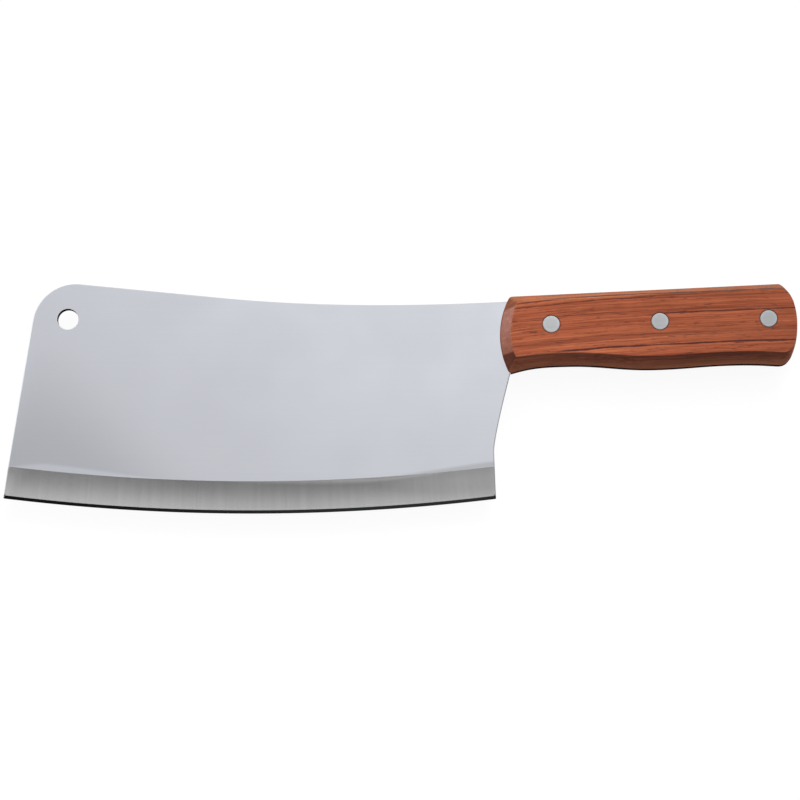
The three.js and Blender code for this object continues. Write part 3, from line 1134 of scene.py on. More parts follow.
@dataclass(frozen=True)
class Rivets:
    """The compression rivets, each with a flush head in both scales."""

    head_radius: float = 3.5
    head_thickness: float = 1.55
    head_break: float = 0.18
    crown: float = 0.02
    crown_rings: tuple[float, ...] = (0.0, 0.3, 0.55, 0.75, 0.9)
    shank_radius: float = 2.5
    face: float = 10.8
    weld: float = 0.001
    crisp_angle: float = 40.0
    rim_steps: int = 4
    sides: int = 64
    seed: int = 118

    def _profile(self) -> list[Vector]:
        """Draws the rivet's outline.

        Returns:
            Radius and height, from the middle of its top to the middle of its underside.
        """
        inner = self.head_radius - self.head_break
        rim_centre = Vector((inner, self.face - self.crown - self.head_break))
        rim = arc(rim_centre, self.head_break, 90, 0, self.rim_steps)
        top = [Vector((inner * t, self.face - self.crown * t * t)) for t in self.crown_rings]
        under = self.face - self.head_thickness
        half = [*top, *rim, Vector((self.head_radius, under)), Vector((self.shank_radius, under))]
        return half + [Vector((p.x, -p.y)) for p in reversed(half)]

    def build(self, handle: Handle, drawing: Drawing, material: Material) -> Object:
        """Makes all the rivets with Geometry Nodes.

        Args:
            handle: The handle that they hold.
            drawing: Where the drawing lies.
            material: Their finish.

        Returns:
            The rivets as one mesh.
        """
        inputs = floats("First", "Pitch", "Reach", "Widest", "Rise", "Weld")
        inputs |= {"Count": "Int", "Sides": "Int", "Seed": "Int"}
        inputs |= {"Origin": "Vector", "Finish": "Material"}
        outputs = {"Geometry": "Geometry"}
        w, value, end = new_group("rivet_row", inputs, outputs, "GeometryNodeTree")

        # One rivet: a sheet that is wrapped round the axis, with its outline in two curves.
        profile = self._profile()
        columns = w.math("ADD", value["Sides"], 1)
        counts = {"Vertices X": columns, "Vertices Y": len(profile)}
        sheet = w.out("GeometryNodeMeshGrid", {"Size X": 1.0, "Size Y": 1.0} | counts)
        x, y, _ = w.split(w.out("GeometryNodeInputPosition"))
        along = w.math("ADD", y, 0.5)
        angle = w.times(w.math("ADD", x, 0.5), math.tau)
        shares = [k / (len(profile) - 1) for k in range(len(profile))]
        radii = [(s, p.x / self.head_radius) for s, p in zip(shares, profile)]
        heights = [(s, 0.5 + 0.5 * p.y / self.face) for s, p in zip(shares, profile)]
        radius = w.times(w.curve(along, radii, True), value["Widest"])
        height = w.math("MULTIPLY_ADD", w.curve(along, heights, True), 2.0, -1.0)
        round_axis = (w.times(radius, w.math(turn, angle)) for turn in ("COSINE", "SINE"))
        wrapped = w.join(*round_axis, w.times(height, value["Reach"]))
        solid = w.out("GeometryNodeSetPosition", {"Geometry": sheet, "Position": wrapped})
        welding = {"Geometry": solid, "Distance": value["Weld"]}
        welded = w.out("GeometryNodeMergeByDistance", welding)

        # The row: one on each point along the handle's axis, each with a chance for its tone.
        ends = {"Start Location": value["First"], "Offset": value["Pitch"]}
        ends = {name: w.join(x, 0.0, 0.0) for name, x in ends.items()}
        line = w.out("GeometryNodeMeshLine", {"Count": value["Count"]} | ends)
        placed = w.out("GeometryNodeInstanceOnPoints", {"Points": line, "Instance": welded})
        chance = w.out("FunctionNodeRandomValue", {"Seed": value["Seed"]}, data_type="FLOAT")
        marking = {"Geometry": placed, "Name": "rivet_chance"}
        kinds = {"data_type": "FLOAT", "domain": "INSTANCE"}
        marked = w.node("GeometryNodeStoreNamedAttribute", marking, **kinds)
        w.feed(live(marked.inputs, "Value")[0], chance)
        last = w.out("GeometryNodeRealizeInstances", {"Geometry": marked.outputs[0]})
        move = {"Translation": value["Origin"], "Rotation": w.join(0.0, 0.0, value["Rise"])}
        last = w.out("GeometryNodeTransform", {"Geometry": last} | move)
        last = w.out("GeometryNodeSetMaterial", {"Geometry": last, "Material": value["Finish"]})
        w.feed(end["Geometry"], last)

        sizes = {
            "First": handle.first_rivet,
            "Pitch": handle.rivet_pitch,
            "Reach": self.face,
            "Widest": self.head_radius,
            "Weld": self.weld,
        }
        values = {name: size * MM for name, size in sizes.items()}
        values |= {"Count": handle.rivet_count, "Sides": self.sides, "Seed": self.seed}
        values |= {"Rise": math.radians(handle.rise), "Origin": tuple(drawing.origin)}
        made = new_object("rivet_set", bpy.data.meshes.new("rivet_set"))
        shape_by(made, w.tree, values | {"Finish": material})
        mesh = bmesh.new()
        mesh.from_mesh(made.data)
        smooth(mesh, lambda edge: edge.calc_face_angle(0.0) >= math.radians(self.crisp_angle))
        mesh.to_mesh(made.data)
        mesh.free()
        return made


# Finishes


@dataclass(frozen=True)
class PaintedLightPatch:
    """A lens-shaped patch from the grind's shoulder whose tone is painted: a painted sheen where it
    is lighter, a painted shade where it is darker.

    Attributes:
        start: Where it starts along the edge, in millimetres from the edge's low point.
        peak: Where it is widest.
        end: Where it ends.
        reach: How far it reaches from the shoulder, upwards if positive.
        tone: How much lighter it is.
        softness: The share of its width over which it fades out.
    """

    start: float
    peak: float
    end: float
    reach: float
    tone: float
    softness: float


@dataclass(frozen=True)
class SteelFinish:
    """A satin steel.

    Attributes:
        name: The material's name.
        colour: Its colour.
        roughness: Its middle roughness.
        line_width: The width of its grinding lines, in millimetres.
        line_length: Their length, in millimetres.
        line_depth: How deep they look.
        line_tone: How much they change its colour.
        smear: How much handling marks change its roughness.
        smear_size: The size of those marks, in millimetres.
        radial: Whether the lines run across the edge, as the wheel left them, or along the blade.
        run_outs: Patches of painted sheen and painted shade, from the grind's shoulder.
    """

    name: str
    colour: Colour
    roughness: float
    line_width: float = 0.12
    line_length: float = 60.0
    line_depth: float = 0.0
    line_tone: float = 0.01
    smear: float = 0.02
    smear_size: float = 30.0
    radial: bool = False
    run_outs: tuple[PaintedLightPatch, ...] = ()


@dataclass(frozen=True)
class RivetFinish(SteelFinish):
    """The rivets' steel, sanded flush with the wood.

    Attributes:
        tones: How dark the darkest of the rivets may be, and the lightest.
        rim: Where a head's rim starts and is full, from its axis, in millimetres.
        rubbed: How much brighter the rim is painted, a painted sheen.
    """

    tones: Range = (0.76, 1.0)
    rim: Range = (1.8, 3.1)
    rubbed: Colour = (1.06, 1.1, 1.11)


@dataclass(frozen=True)
class PaintedShadeFinish:
    """Near-black steel on the tang's edge under the grip and on the walls of the holes: a painted
    shade.

    Attributes:
        name: The material's name.
        tones: Its darkest and its lightest grey.
        patch_size: The size of its patches, in millimetres.
        roughness: Its roughness.
    """

    name: str = "blade_painted_shade_rim"
    tones: Range = (0.01, 0.026)
    patch_size: float = 4.0
    roughness: float = 0.7


# The flats have a painted sheen just above the shoulder towards the tip, and painted shade just
# above it towards the heel and over the flat near the tip.
FLAT_STEEL = SteelFinish(
    "blade_satin",
    (0.585, 0.6, 0.645),
    0.3,
    run_outs=(
        PaintedLightPatch(-108.0, -84.0, -20.0, 3.6, 0.2, 0.5),
        PaintedLightPatch(40.0, 100.0, 160.0, 3.0, -0.22, 0.6),
        PaintedLightPatch(-130.0, -92.0, -2.0, 60.0, -0.17, 0.9),
    ),
)
# The hollow has painted sheen under the shoulder, near the tip and towards the heel, and a painted
# shade over its heel end.
GROUND_STEEL = SteelFinish(
    "blade_ground",
    (0.61, 0.61, 0.615),
    0.24,
    line_width=0.8,
    line_length=40.0,
    line_depth=0.02,
    line_tone=0.04,
    radial=True,
    run_outs=(
        PaintedLightPatch(-40.0, 45.0, 100.0, -2.6, 0.6, 0.9),
        PaintedLightPatch(-112.0, -103.0, -90.0, -22.0, 0.32, 0.9),
        PaintedLightPatch(-130.0, -85.0, 60.0, -60.0, 0.27, 0.9),
        PaintedLightPatch(10.0, 92.0, 210.0, -9.5, 0.52, 0.9),
        PaintedLightPatch(10.0, 110.0, 210.0, -60.0, -0.12, 0.9),
    ),
)
# The edge bevel and the toe's rim are near-black steel, a painted dark reflection, painted darker
# still along most of the edge.
EDGE_PAINTED_DARK_STEEL = SteelFinish(
    "blade_edge_painted_dark",
    (0.036, 0.036, 0.038),
    0.3,
    line_length=3.0,
    radial=True,
    run_outs=(PaintedLightPatch(-130.0, -105.0, 90.0, -60.0, -0.65, 0.9),),
)
RIM_STEEL = SteelFinish("blade_heel_rim", (0.42, 0.43, 0.445), 0.4)
SPINE_STEEL = SteelFinish("blade_spine_rim", (0.7, 0.71, 0.74), 0.35)
# The hole's broken rim is brighter steel, a painted highlight.
HOLE_HIGHLIGHT_STEEL = SteelFinish("blade_hole_rim_highlight", (0.85, 0.86, 0.87), 0.55)
RIVET_STEEL = RivetFinish(
    "rivet_satin",
    (0.472, 0.477, 0.488),
    0.34,
    line_width=0.09,
    line_length=9.0,
    line_depth=0.04,
    line_tone=0.05,
)


@dataclass(frozen=True)
class Vein:
    """A dark vein or a pale streak in the wood.

    Attributes:
        level: Its place across the grain, in millimetres.
        start: Where it starts along the grain.
        end: Where it ends.
        width: Half of its width.
        depth: How dark or pale it is.
    """

    level: float
    start: float
    end: float
    width: float
    depth: float


FRONT_VEINS = (
    Vein(8.1, 4.0, 28.0, 0.45, 0.8),
    Vein(8.75, 18.0, 66.0, 0.75, 1.0),
    Vein(8.2, 58.0, 130.0, 0.85, 1.0),
    Vein(6.1, 2.0, 34.0, 0.34, 0.8),
    Vein(6.4, 28.0, 66.0, 0.4, 0.8),
    Vein(5.9, 60.0, 130.0, 0.3, 0.45),
    Vein(0.9, 8.0, 64.0, 0.3, 0.65),
    Vein(-0.45, 62.0, 130.0, 0.5, 0.92),
    Vein(-4.0, 4.0, 44.0, 0.3, 0.4),
    Vein(-9.3, -5.0, 130.0, 1.7, 0.2),
    Vein(-10.0, 18.0, 130.0, 0.9, 0.26),
    Vein(-13.5, 20.0, 130.0, 0.58, 1.0),
    Vein(-16.3, 52.0, 68.0, 0.4, 0.6),
)
FRONT_PALE = (
    Vein(7.1, 0.0, 58.0, 0.5, 0.5),
    Vein(3.4, 22.0, 96.0, 1.1, 0.42),
    Vein(-1.8, 36.0, 80.0, 0.6, 0.35),
    Vein(-7.5, 0.0, 118.0, 0.6, 0.5),
    Vein(-8.2, 46.0, 96.0, 0.6, 0.4),
    Vein(-11.9, 12.0, 66.0, 0.8, 0.4),
)
REAR_VEINS = (
    Vein(9.2, 10.0, 90.0, 0.4, 0.5),
    Vein(3.6, -5.0, 130.0, 0.32, 0.8),
    Vein(-2.2, 40.0, 118.0, 0.3, 0.6),
    Vein(-5.4, -5.0, 52.0, 0.3, 0.5),
    Vein(-9.8, 22.0, 130.0, 0.34, 0.85),
    Vein(-14.6, 60.0, 105.0, 0.36, 0.5),
)
REAR_PALE = (Vein(6.0, 20.0, 110.0, 0.6, 0.45), Vein(-7.2, 0.0, 74.0, 0.6, 0.4))


@dataclass(frozen=True)
class Grain:
    """How the wood's grain runs, in millimetres.

    Attributes:
        climb: How far it climbs from the front to where it levels out.
        climb_length: The length over which it does most of that.
        lean: How far it falls for each millimetre through the wood.
        sway: How far it sways up and down.
        sway_sizes: The size of a sway along, across and through the wood.
    """

    climb: float = 5.0
    climb_length: float = 45.0
    lean: float = 0.1
    sway: float = 0.9
    sway_sizes: tuple[float, float, float] = (16.0, 5.0, 7.0)


@dataclass(frozen=True)
class WoodFinish:
    """An oiled reddish-brown hardwood with dark veins and fine pores.

    A range says where an effect starts and where it is full, or from what to what a value goes.
    Heights, lengths and the depths from the blade's middle are in millimetres, and a facing is
    the part of a normal along X or Y.
    """

    name: str
    veins: tuple[Vein, ...]
    pale_streaks: tuple[Vein, ...]
    grain_seed: float
    dark: Colour = (0.24, 0.0575, 0.0275)
    middle: Colour = (0.354, 0.0935, 0.0437)
    light: Colour = (0.484, 0.1435, 0.065)
    vein: Colour = (0.075, 0.026, 0.024)
    end_grain: Colour = (0.13, 0.05, 0.032)
    worn: Colour = (0.5, 0.2, 0.11)
    bleached_tint: Colour = (1.05, 1.17, 0.93)
    handled_tint: Colour = (0.6, 0.67, 0.74)

    middle_streaks: Range = (0.28, 0.5)
    light_streaks: Range = (0.5, 0.72)
    worn_streaks: Range = (0.4, 0.7)
    toned_fibres: Range = (0.25, 0.75)
    fibre_tones: Range = (0.68, 1.32)
    rough_fibres: Range = (0.2, 0.8)
    ripening_length: Range = (0.0, 120.0)
    ripening_tones: Range = (1.065, 0.9)
    front_facing: Range = (-0.35, -0.8)
    butt_facing: Range = (0.35, 0.8)
    top_facing: Range = (0.3, 0.7)
    grip_facing: Range = (-0.3, -0.6)
    worn_butt_facing: Range = (-0.45, -0.1)
    grip_end_facing: Range = (0.62, 0.36)
    toe_height: Range = (-10.4, -11.4)
    toe_length: Range = (12.0, 8.0)
    corner_height: Range = (6.8, 8.6)
    seam_depth: Range = (3.4, 2.2)
    arris_depth: Range = (7.0, 10.4)
    tang_depth: Range = (8.5, 2.5)
    stain_reach: Range = (0.6, 0.1)

    pore_share: float = 0.7
    front_wear: float = 0.2
    butt_wear: float = 0.45
    tang_wear: float = 0.3
    arris_wear: float = 0.22
    toe_oil: float = 0.78
    dust: float = 0.5
    arris_grime: float = 0.3
    rivet_stain: float = 0.4

    roughness: float = 0.42
    fibre_roughness: float = 0.06
    pore_roughness: float = 0.2
    fibre_height: float = 0.25
    pore_height: float = -1.0
    vein_height: float = -0.4
    bump: float = 0.25
    bump_depth: float = 0.1
    front_coat: float = 0.85
    side_and_top_coat: Range = (0.08, 0.17)
    coat_roughness: float = 0.25


class Materials:
    """Makes the finishes, and the node groups that they share.

    Attributes:
        NOISE_RANGE: Where most of a noise's values lie.
        LINE_BUMP_DEPTH: The height of the grinding lines' bump, in millimetres.
        COARSE_LINES: The scale of the coarse grinding lines among the fine ones.
        COARSE_SHARE: Their share.
        VEIN_BREAK_LENGTH: The length over which a vein changes, in millimetres.
        VEIN_WIDTHS: Its narrowest and its widest, as shares of its width.
        VEIN_STRENGTHS: Its weakest and its strongest.
        VEIN_TAPER: The length over which it starts and ends, in millimetres.
        VEIN_CORE: The share of its width that is darkest.
        PORE_DASHES: Where a noise of dashes becomes pores.
        PORE_PATCHES: Where a broader noise lets them show.
        THROUGH_GRAIN: The size of the wood's marks through the grain for that across it.
    """

    NOISE_RANGE: Range = (0.3, 0.7)
    LINE_BUMP_DEPTH = 0.2
    COARSE_LINES = 0.21
    COARSE_SHARE = 0.4
    VEIN_BREAK_LENGTH = 9.0
    VEIN_WIDTHS: Range = (0.6, 1.4)
    VEIN_STRENGTHS: Range = (0.7, 1.0)
    VEIN_TAPER = 8.0
    VEIN_CORE = 0.15
    PORE_DASHES: Range = (0.57, 0.7)
    PORE_PATCHES: Range = (0.38, 0.58)
    THROUGH_GRAIN = 1.6

    def __init__(self, drawing: Drawing, handle: Handle, blade: Blade) -> None:
        """Builds the shared groups.

        Args:
            drawing: Where the drawing lies.
            handle: The handle, for the places of its rivets and grain.
            blade: The blade, for the centre of its grinding lines.
        """
        self.drawing = drawing
        self.handle = handle
        self.blade = blade
        self.lines = self._lines_group()
        self.light_patch = self._run_out_group()
        self.smears = self._smears_group()
        self.grain = self._grain_group(Grain())
        self.rivet_distance = self._rivet_group()
        self.vein = self._vein_group()
        self.fibre = self._fibre_group()

    def _lines_group(self) -> NodeTree:
        """Makes fine lines that run along X: a value about 0.5.

        Returns:
            The group.
        """
        inputs = {"Vector": "Vector"} | floats("Width", "Length")
        w, value, end = new_group("grinding_lines", inputs, floats("Lines"))
        sizes = [value[name] for name in ("Length", "Width", "Width")]
        parts = zip(w.split(value["Vector"]), sizes)
        place = w.join(*(w.math("DIVIDE", part, size) for part, size in parts))
        fine = w.times(w.noise(place, detail=3.0, roughness=0.6), 1.0 - self.COARSE_SHARE)
        coarse = w.noise(place, scale=self.COARSE_LINES, detail=1.0)
        w.feed(end["Lines"], w.math("MULTIPLY_ADD", coarse, self.COARSE_SHARE, fine))
        return w.tree

    def _run_out_group(self) -> NodeTree:
        """Makes a lens-shaped patch of painted light: a factor for the steel's tone.

        Returns:
            The group.
        """
        inputs = floats("Along", "Above", "Start", "Peak", "End", "Reach", "Tone", "Softness")
        w, value, end = new_group("light_patch", inputs, floats("Factor"))
        opens = w.spread(value["Along"], value["Start"], value["Peak"])
        closes = w.spread(value["Along"], value["End"], value["Peak"])
        share = w.math("DIVIDE", value["Above"], value["Reach"])
        room = w.math("SUBTRACT", w.times(opens, closes), share)
        on_side = w.math("GREATER_THAN", share, 0.0)
        mask = w.times(w.spread(room, 0.0, value["Softness"]), on_side)
        w.feed(end["Factor"], w.math("MULTIPLY_ADD", mask, value["Tone"], 1.0))
        return w.tree

    def _smears_group(self) -> NodeTree:
        """Makes soft patches from handling: a value about 0.5.

        Returns:
            The group.
        """
        inputs = {"Vector": "Vector"} | floats("Size")
        w, value, end = new_group("handling_smears", inputs, floats("Smears"))
        place = w.vector_math("DIVIDE", value["Vector"], value["Size"])
        w.feed(end["Smears"], w.noise(place, detail=3.0, roughness=0.55))
        return w.tree

    def _grain_group(self, grain: Grain) -> NodeTree:
        """Makes the wood's own coordinates: along, across and through the grain, in millimetres.

        Args:
            grain: How the grain runs.

        Returns:
            The group.
        """
        inputs = {"Vector": "Vector"} | floats("Seed")
        outputs = floats("Along", "Across", "Through", "Height")
        w, value, end = new_group("grain_places", inputs, outputs)
        moved = w.vector_math("SUBTRACT", value["Vector"], tuple(self.drawing.origin))
        turn = {"Vector": moved, "Angle": -math.radians(self.handle.rise)}
        level = w.out("ShaderNodeVectorRotate", turn)
        along, up, through = (w.math("DIVIDE", part, MM) for part in w.split(level))

        # The grain climbs from the front and levels out towards the butt.
        face = self.handle.tang_face + self.handle.thickness
        climb = w.math("EXPONENT", w.math("DIVIDE", along, -grain.climb_length))
        bent = w.math("MULTIPLY_ADD", climb, grain.climb, w.math("SUBTRACT", up, grain.climb))
        raised = w.math("ADD", bent, grain.lean * face)
        leaning = w.math("MULTIPLY_ADD", through, -grain.lean, raised)
        parts = zip((along, up, through), grain.sway_sizes)
        x, y, z = (w.math("DIVIDE", part, size) for part, size in parts)
        sway = w.noise(w.join(x, y, w.math("ADD", z, value["Seed"])))
        across = w.math("MULTIPLY_ADD", w.math("SUBTRACT", sway, 0.5), grain.sway, leaning)
        w.feed_all(end, {"Along": along, "Across": across, "Through": through, "Height": up})
        return w.tree

    def _rivet_group(self) -> NodeTree:
        """Measures the distance from the nearest rivet's axis, in millimetres.

        Returns:
            The group.
        """
        w, value, end = new_group("rivet_distance", floats("Along", "Height"), floats("Distance"))
        pitch, height = self.handle.rivet_pitch, value["Height"]
        before = w.math("SUBTRACT", value["Along"], self.handle.first_rivet - pitch / 2)
        nearest = w.math("SUBTRACT", w.math("MODULO", before, pitch), pitch / 2)
        squares = w.math("MULTIPLY_ADD", nearest, nearest, w.times(height, height))
        w.feed(end["Distance"], w.math("SQRT", squares))
        return w.tree

    def _vein_group(self) -> NodeTree:
        """Makes one vein: 1 in its middle, and less where it thins out.

        Returns:
            The group.
        """
        inputs = floats("Along", "Across", "Level", "Start", "End", "Width", "Depth")
        w, value, end = new_group("dark_vein", inputs, floats("Mask"))
        away = w.math("ABSOLUTE", w.math("SUBTRACT", value["Across"], value["Level"]))
        along = w.math("DIVIDE", value["Along"], self.VEIN_BREAK_LENGTH)
        broken = w.noise(w.join(along, value["Level"], 0.0), detail=3.0, roughness=0.6)
        width = w.times(value["Width"], w.spread(broken, 0.25, 0.75, *self.VEIN_WIDTHS))
        line = w.spread(away, width, w.times(width, self.VEIN_CORE))
        full_from = w.math("ADD", value["Start"], self.VEIN_TAPER)
        full_to = w.math("SUBTRACT", value["End"], self.VEIN_TAPER)
        opens = w.spread(value["Along"], value["Start"], full_from)
        closes = w.spread(value["Along"], value["End"], full_to)
        strength = w.times(value["Depth"], w.spread(broken, 0.2, 0.5, *self.VEIN_STRENGTHS))
        w.feed(end["Mask"], w.times(line, strength, w.times(opens, closes)))
        return w.tree

    def _fibre_group(self) -> NodeTree:
        """Makes the wood's broad streaks, its fine fibres and its pores.

        Returns:
            The group.
        """
        inputs = floats("Along", "Across", "Through", "Seed")
        w, value, end = new_group("wood_fibre", inputs, floats("Streaks", "Fibres", "Pores"))

        def field_of(length: float, width: float) -> Socket:
            """Divides a place in the wood by the size of a noise's marks.

            Args:
                length: Their length along the grain.
                width: Their width across it.

            Returns:
                The place to read the noise at.
            """
            sizes = {"Along": length, "Across": width, "Through": width * self.THROUGH_GRAIN}
            x, y, z = (w.math("DIVIDE", value[name], size) for name, size in sizes.items())
            return w.join(x, y, w.math("ADD", z, value["Seed"]))

        streaks = w.noise(field_of(130.0, 2.2), detail=3.0, roughness=0.6)
        fibres = w.noise(field_of(24.0, 0.5), detail=3.0, roughness=0.65)
        dashes = w.noise(field_of(3.4, 0.3), detail=1.0)
        where = w.noise(field_of(22.0, 1.7))
        patches = w.spread(where, *self.PORE_PATCHES)
        pores = w.times(w.spread(dashes, *self.PORE_DASHES), patches)
        w.feed_all(end, {"Streaks": streaks, "Fibres": fibres, "Pores": pores})
        return w.tree

    def _grinding_place(self, w: Wiring, place: Socket) -> tuple[Socket, Socket]:
        """Finds a place on the blade about the edge's centre.

        Args:
            w: The wiring of the material.
            place: The place on the piece.

        Returns:
            The radius and the length along the edge's arc, in millimetres.
        """
        centre = self.drawing.point(self.blade.edge_centre, 0.0)
        x, y, _ = w.split(w.vector_math("SUBTRACT", place, tuple(centre)))
        radius = w.math("SQRT", w.math("MULTIPLY_ADD", x, x, w.times(y, y)))
        angle = w.math("ARCTAN2", x, w.times(y, -1.0))
        return w.math("DIVIDE", radius, MM), w.times(angle, self.blade.edge_radius)

    def _from_rivet(self, w: Wiring, grain: Any) -> Socket:
        """Returns the distance from the nearest rivet's axis at a place in the wood."""
        values = {name: grain[name] for name in ("Along", "Height")}
        return w.group(self.rivet_distance, values)[0]

    @staticmethod
    def _inputs_of(row: PaintedLightPatch | Vein) -> dict[str, float]:
        """Returns a patch's or a vein's values by the names of its group's inputs."""
        return {name.title(): value for name, value in asdict(row).items()}

    def steel(self, finish: SteelFinish) -> Material:
        """Makes a steel.

        Args:
            finish: Its values.

        Returns:
            The material.
        """
        material, w, shader = new_material(finish.name)
        place = w.node("ShaderNodeTexCoord").outputs["Object"]
        millimetres = w.vector_math("DIVIDE", place, (MM, MM, MM))
        radius, along = self._grinding_place(w, place)
        where = w.join(radius, along, 0.0) if finish.radial else millimetres
        values = {"Vector": where, "Width": finish.line_width, "Length": finish.line_length}
        lines = w.group(self.lines, values)[0]
        smears = w.group(self.smears, {"Vector": millimetres, "Size": finish.smear_size})[0]
        tones = (1.0 - finish.line_tone, 1.0 + finish.line_tone)
        tone = w.spread(lines, *self.NOISE_RANGE, *tones)
        above = w.math("SUBTRACT", self.blade.edge_radius - self.blade.grind_width, radius)
        # Patches of painted sheen and painted shade change the tone.
        for patch in finish.run_outs:
            values = {"Along": along, "Above": above} | self._inputs_of(patch)
            tone = w.times(tone, w.group(self.light_patch, values)[0])
        rough = (finish.roughness - finish.smear, finish.roughness + finish.smear)
        w.feed(shader.inputs["Base Color"], w.shade(finish.colour, tone))
        w.feed(shader.inputs["Roughness"], w.spread(smears, *self.NOISE_RANGE, *rough))
        w.feed(shader.inputs["Metallic"], 1.0)
        if finish.line_depth:
            bump = {"Strength": finish.line_depth, "Distance": self.LINE_BUMP_DEPTH * MM}
            w.feed(shader.inputs["Normal"], w.out("ShaderNodeBump", bump | {"Height": lines}))
        return material

    def dark_steel(self, finish: PaintedShadeFinish) -> Material:
        """Makes the near-black steel of the painted shade.

        Args:
            finish: Its values.

        Returns:
            The material.
        """
        material, w, shader = new_material(finish.name)
        place = w.node("ShaderNodeTexCoord").outputs["Object"]
        smears = w.group(self.smears, {"Vector": place, "Size": finish.patch_size * MM})[0]
        colour = w.grey(w.spread(smears, *self.NOISE_RANGE, *finish.tones))
        values = {"Roughness": finish.roughness, "Specular IOR Level": 0.0}
        w.feed_all(shader.inputs, {"Base Color": colour} | values)
        return material

    def rivet_steel(self, finish: RivetFinish) -> Material:
        """Makes the rivets' steel.

        Args:
            finish: Its values.

        Returns:
            The material.
        """
        material = self.steel(finish)
        w = Wiring(material.node_tree)
        base = w.find("BSDF_PRINCIPLED").inputs["Base Color"]
        chance = w.node("ShaderNodeAttribute", attribute_name="rivet_chance").outputs["Fac"]
        colour = w.shade(base.links[0].from_socket, w.spread(chance, 0.0, 1.0, *finish.tones))

        # The rims of the heads are painted brighter, a painted sheen.
        place = w.node("ShaderNodeTexCoord").outputs["Object"]
        distance = self._from_rivet(w, w.group(self.grain, {"Vector": place}))
        rubbed = w.mix(w.spread(distance, *finish.rim), WHITE, finish.rubbed)
        w.feed(base, w.tint(colour, rubbed))
        return material

    def _streak_mask(self, w: Wiring, grain: Any, streaks: Sequence[Vein]) -> Socket:
        """Makes one mask of several veins or streaks.

        Args:
            w: The wiring of the material.
            grain: The wood's own coordinates.
            streaks: The veins or streaks.

        Returns:
            The strongest of their masks.
        """
        places = {name: grain[name] for name in ("Along", "Across")}
        masks = [w.group(self.vein, places | self._inputs_of(streak))[0] for streak in streaks]
        return reduce(lambda a, b: w.math("MAXIMUM", a, b), masks, 0.0)

    def wood(self, finish: WoodFinish) -> Material:
        """Makes the wood of one scale.

        Args:
            finish: Its values.

        Returns:
            The material.
        """
        material, w, shader = new_material(finish.name)
        coordinates = w.node("ShaderNodeTexCoord").outputs
        seed = {"Seed": finish.grain_seed}
        grain = w.group(self.grain, {"Vector": coordinates["Object"]} | seed)
        places = {name: grain[name] for name in ("Along", "Across", "Through")}
        fibre = w.group(self.fibre, places | seed)
        depth = w.math("ABSOLUTE", grain["Through"])
        facing_x, facing_y, _ = w.split(coordinates["Normal"])

        streaks, fibres, pores = (fibre[name] for name in ("Streaks", "Fibres", "Pores"))
        colour = w.mix(w.spread(streaks, *finish.middle_streaks), finish.dark, finish.middle)
        colour = w.mix(w.spread(streaks, *finish.light_streaks), colour, finish.light)
        colour = w.shade(colour, w.spread(fibres, *finish.toned_fibres, *finish.fibre_tones))
        # Lighter towards the front and darker towards the butt.
        lengthwise_tone = w.spread(grain["Along"], *finish.ripening_length, *finish.ripening_tones)
        colour = w.shade(colour, lengthwise_tone)
        colour = w.mix(w.times(pores, finish.pore_share), colour, finish.vein)
        pale = self._streak_mask(w, grain, finish.pale_streaks)
        colour = w.mix(pale, colour, finish.light)
        veins = self._streak_mask(w, grain, finish.veins)
        colour = w.mix(veins, colour, finish.vein)

        # The ends are painted lighter, a painted light on the front and butt chamfers, and the toe
        # is painted darker, a painted shade where the front turns down.
        front = w.spread(facing_x, *finish.front_facing)
        above = w.spread(facing_y, *finish.worn_butt_facing)
        butt = w.times(w.spread(facing_x, *finish.butt_facing), above)
        front_wear = w.times(front, finish.front_wear)
        ends = w.math("MULTIPLY_ADD", butt, finish.butt_wear, front_wear)
        colour = w.mix(ends, colour, finish.worn)
        low = w.spread(grain["Height"], *finish.toe_height)
        toe = w.times(low, w.spread(grain["Along"], *finish.toe_length))
        colour = w.mix(w.times(toe, front, finish.toe_oil), colour, finish.vein)

        # The front is painted darker in the seam next to the blade, a painted shade, and darker at
        # its top corner.
        corner = w.spread(grain["Height"], *finish.corner_height)
        seam = w.spread(depth, *finish.seam_depth)
        darkened_front = w.times(w.math("MAXIMUM", seam, corner), front)
        colour = w.mix(w.times(darkened_front, finish.dust), colour, finish.end_grain)

        # The top is tinted lighter: painted light on the side that faces the light.
        top = w.spread(facing_y, *finish.top_facing)
        colour = w.tint(colour, w.mix(top, WHITE, finish.bleached_tint))

        # The grip's underside is tinted darker, a painted shade on the side turned from the light,
        # darker still towards its arris and lighter next to the tang.
        before_butt = w.spread(facing_x, *finish.grip_end_facing)
        grip_underside = w.times(w.spread(facing_y, *finish.grip_facing), before_butt)
        colour = w.tint(colour, w.mix(grip_underside, WHITE, finish.handled_tint))
        darker_arris = w.times(w.spread(depth, *finish.arris_depth), grip_underside, finish.arris_grime)
        colour = w.mix(darker_arris, colour, finish.vein)
        beside = w.times(w.spread(depth, *finish.tang_depth), grip_underside, finish.tang_wear)
        colour = w.mix(beside, colour, finish.worn)

        # Each rivet is ringed darker: a painted shade in the gap round it, and a stain.
        away = w.math("SUBTRACT", self._from_rivet(w, grain), self.handle.seat_radius)
        shade_and_stain = w.spread(away, *finish.stain_reach, 0.0, finish.rivet_stain)
        colour = w.mix(shade_and_stain, colour, finish.vein)

        # The arrises are rubbed lighter in places.
        arris = w.node("ShaderNodeAttribute", attribute_name="wear").outputs["Fac"]
        patches = w.spread(streaks, *finish.worn_streaks)
        colour = w.mix(w.times(arris, patches, finish.arris_wear), colour, finish.worn)

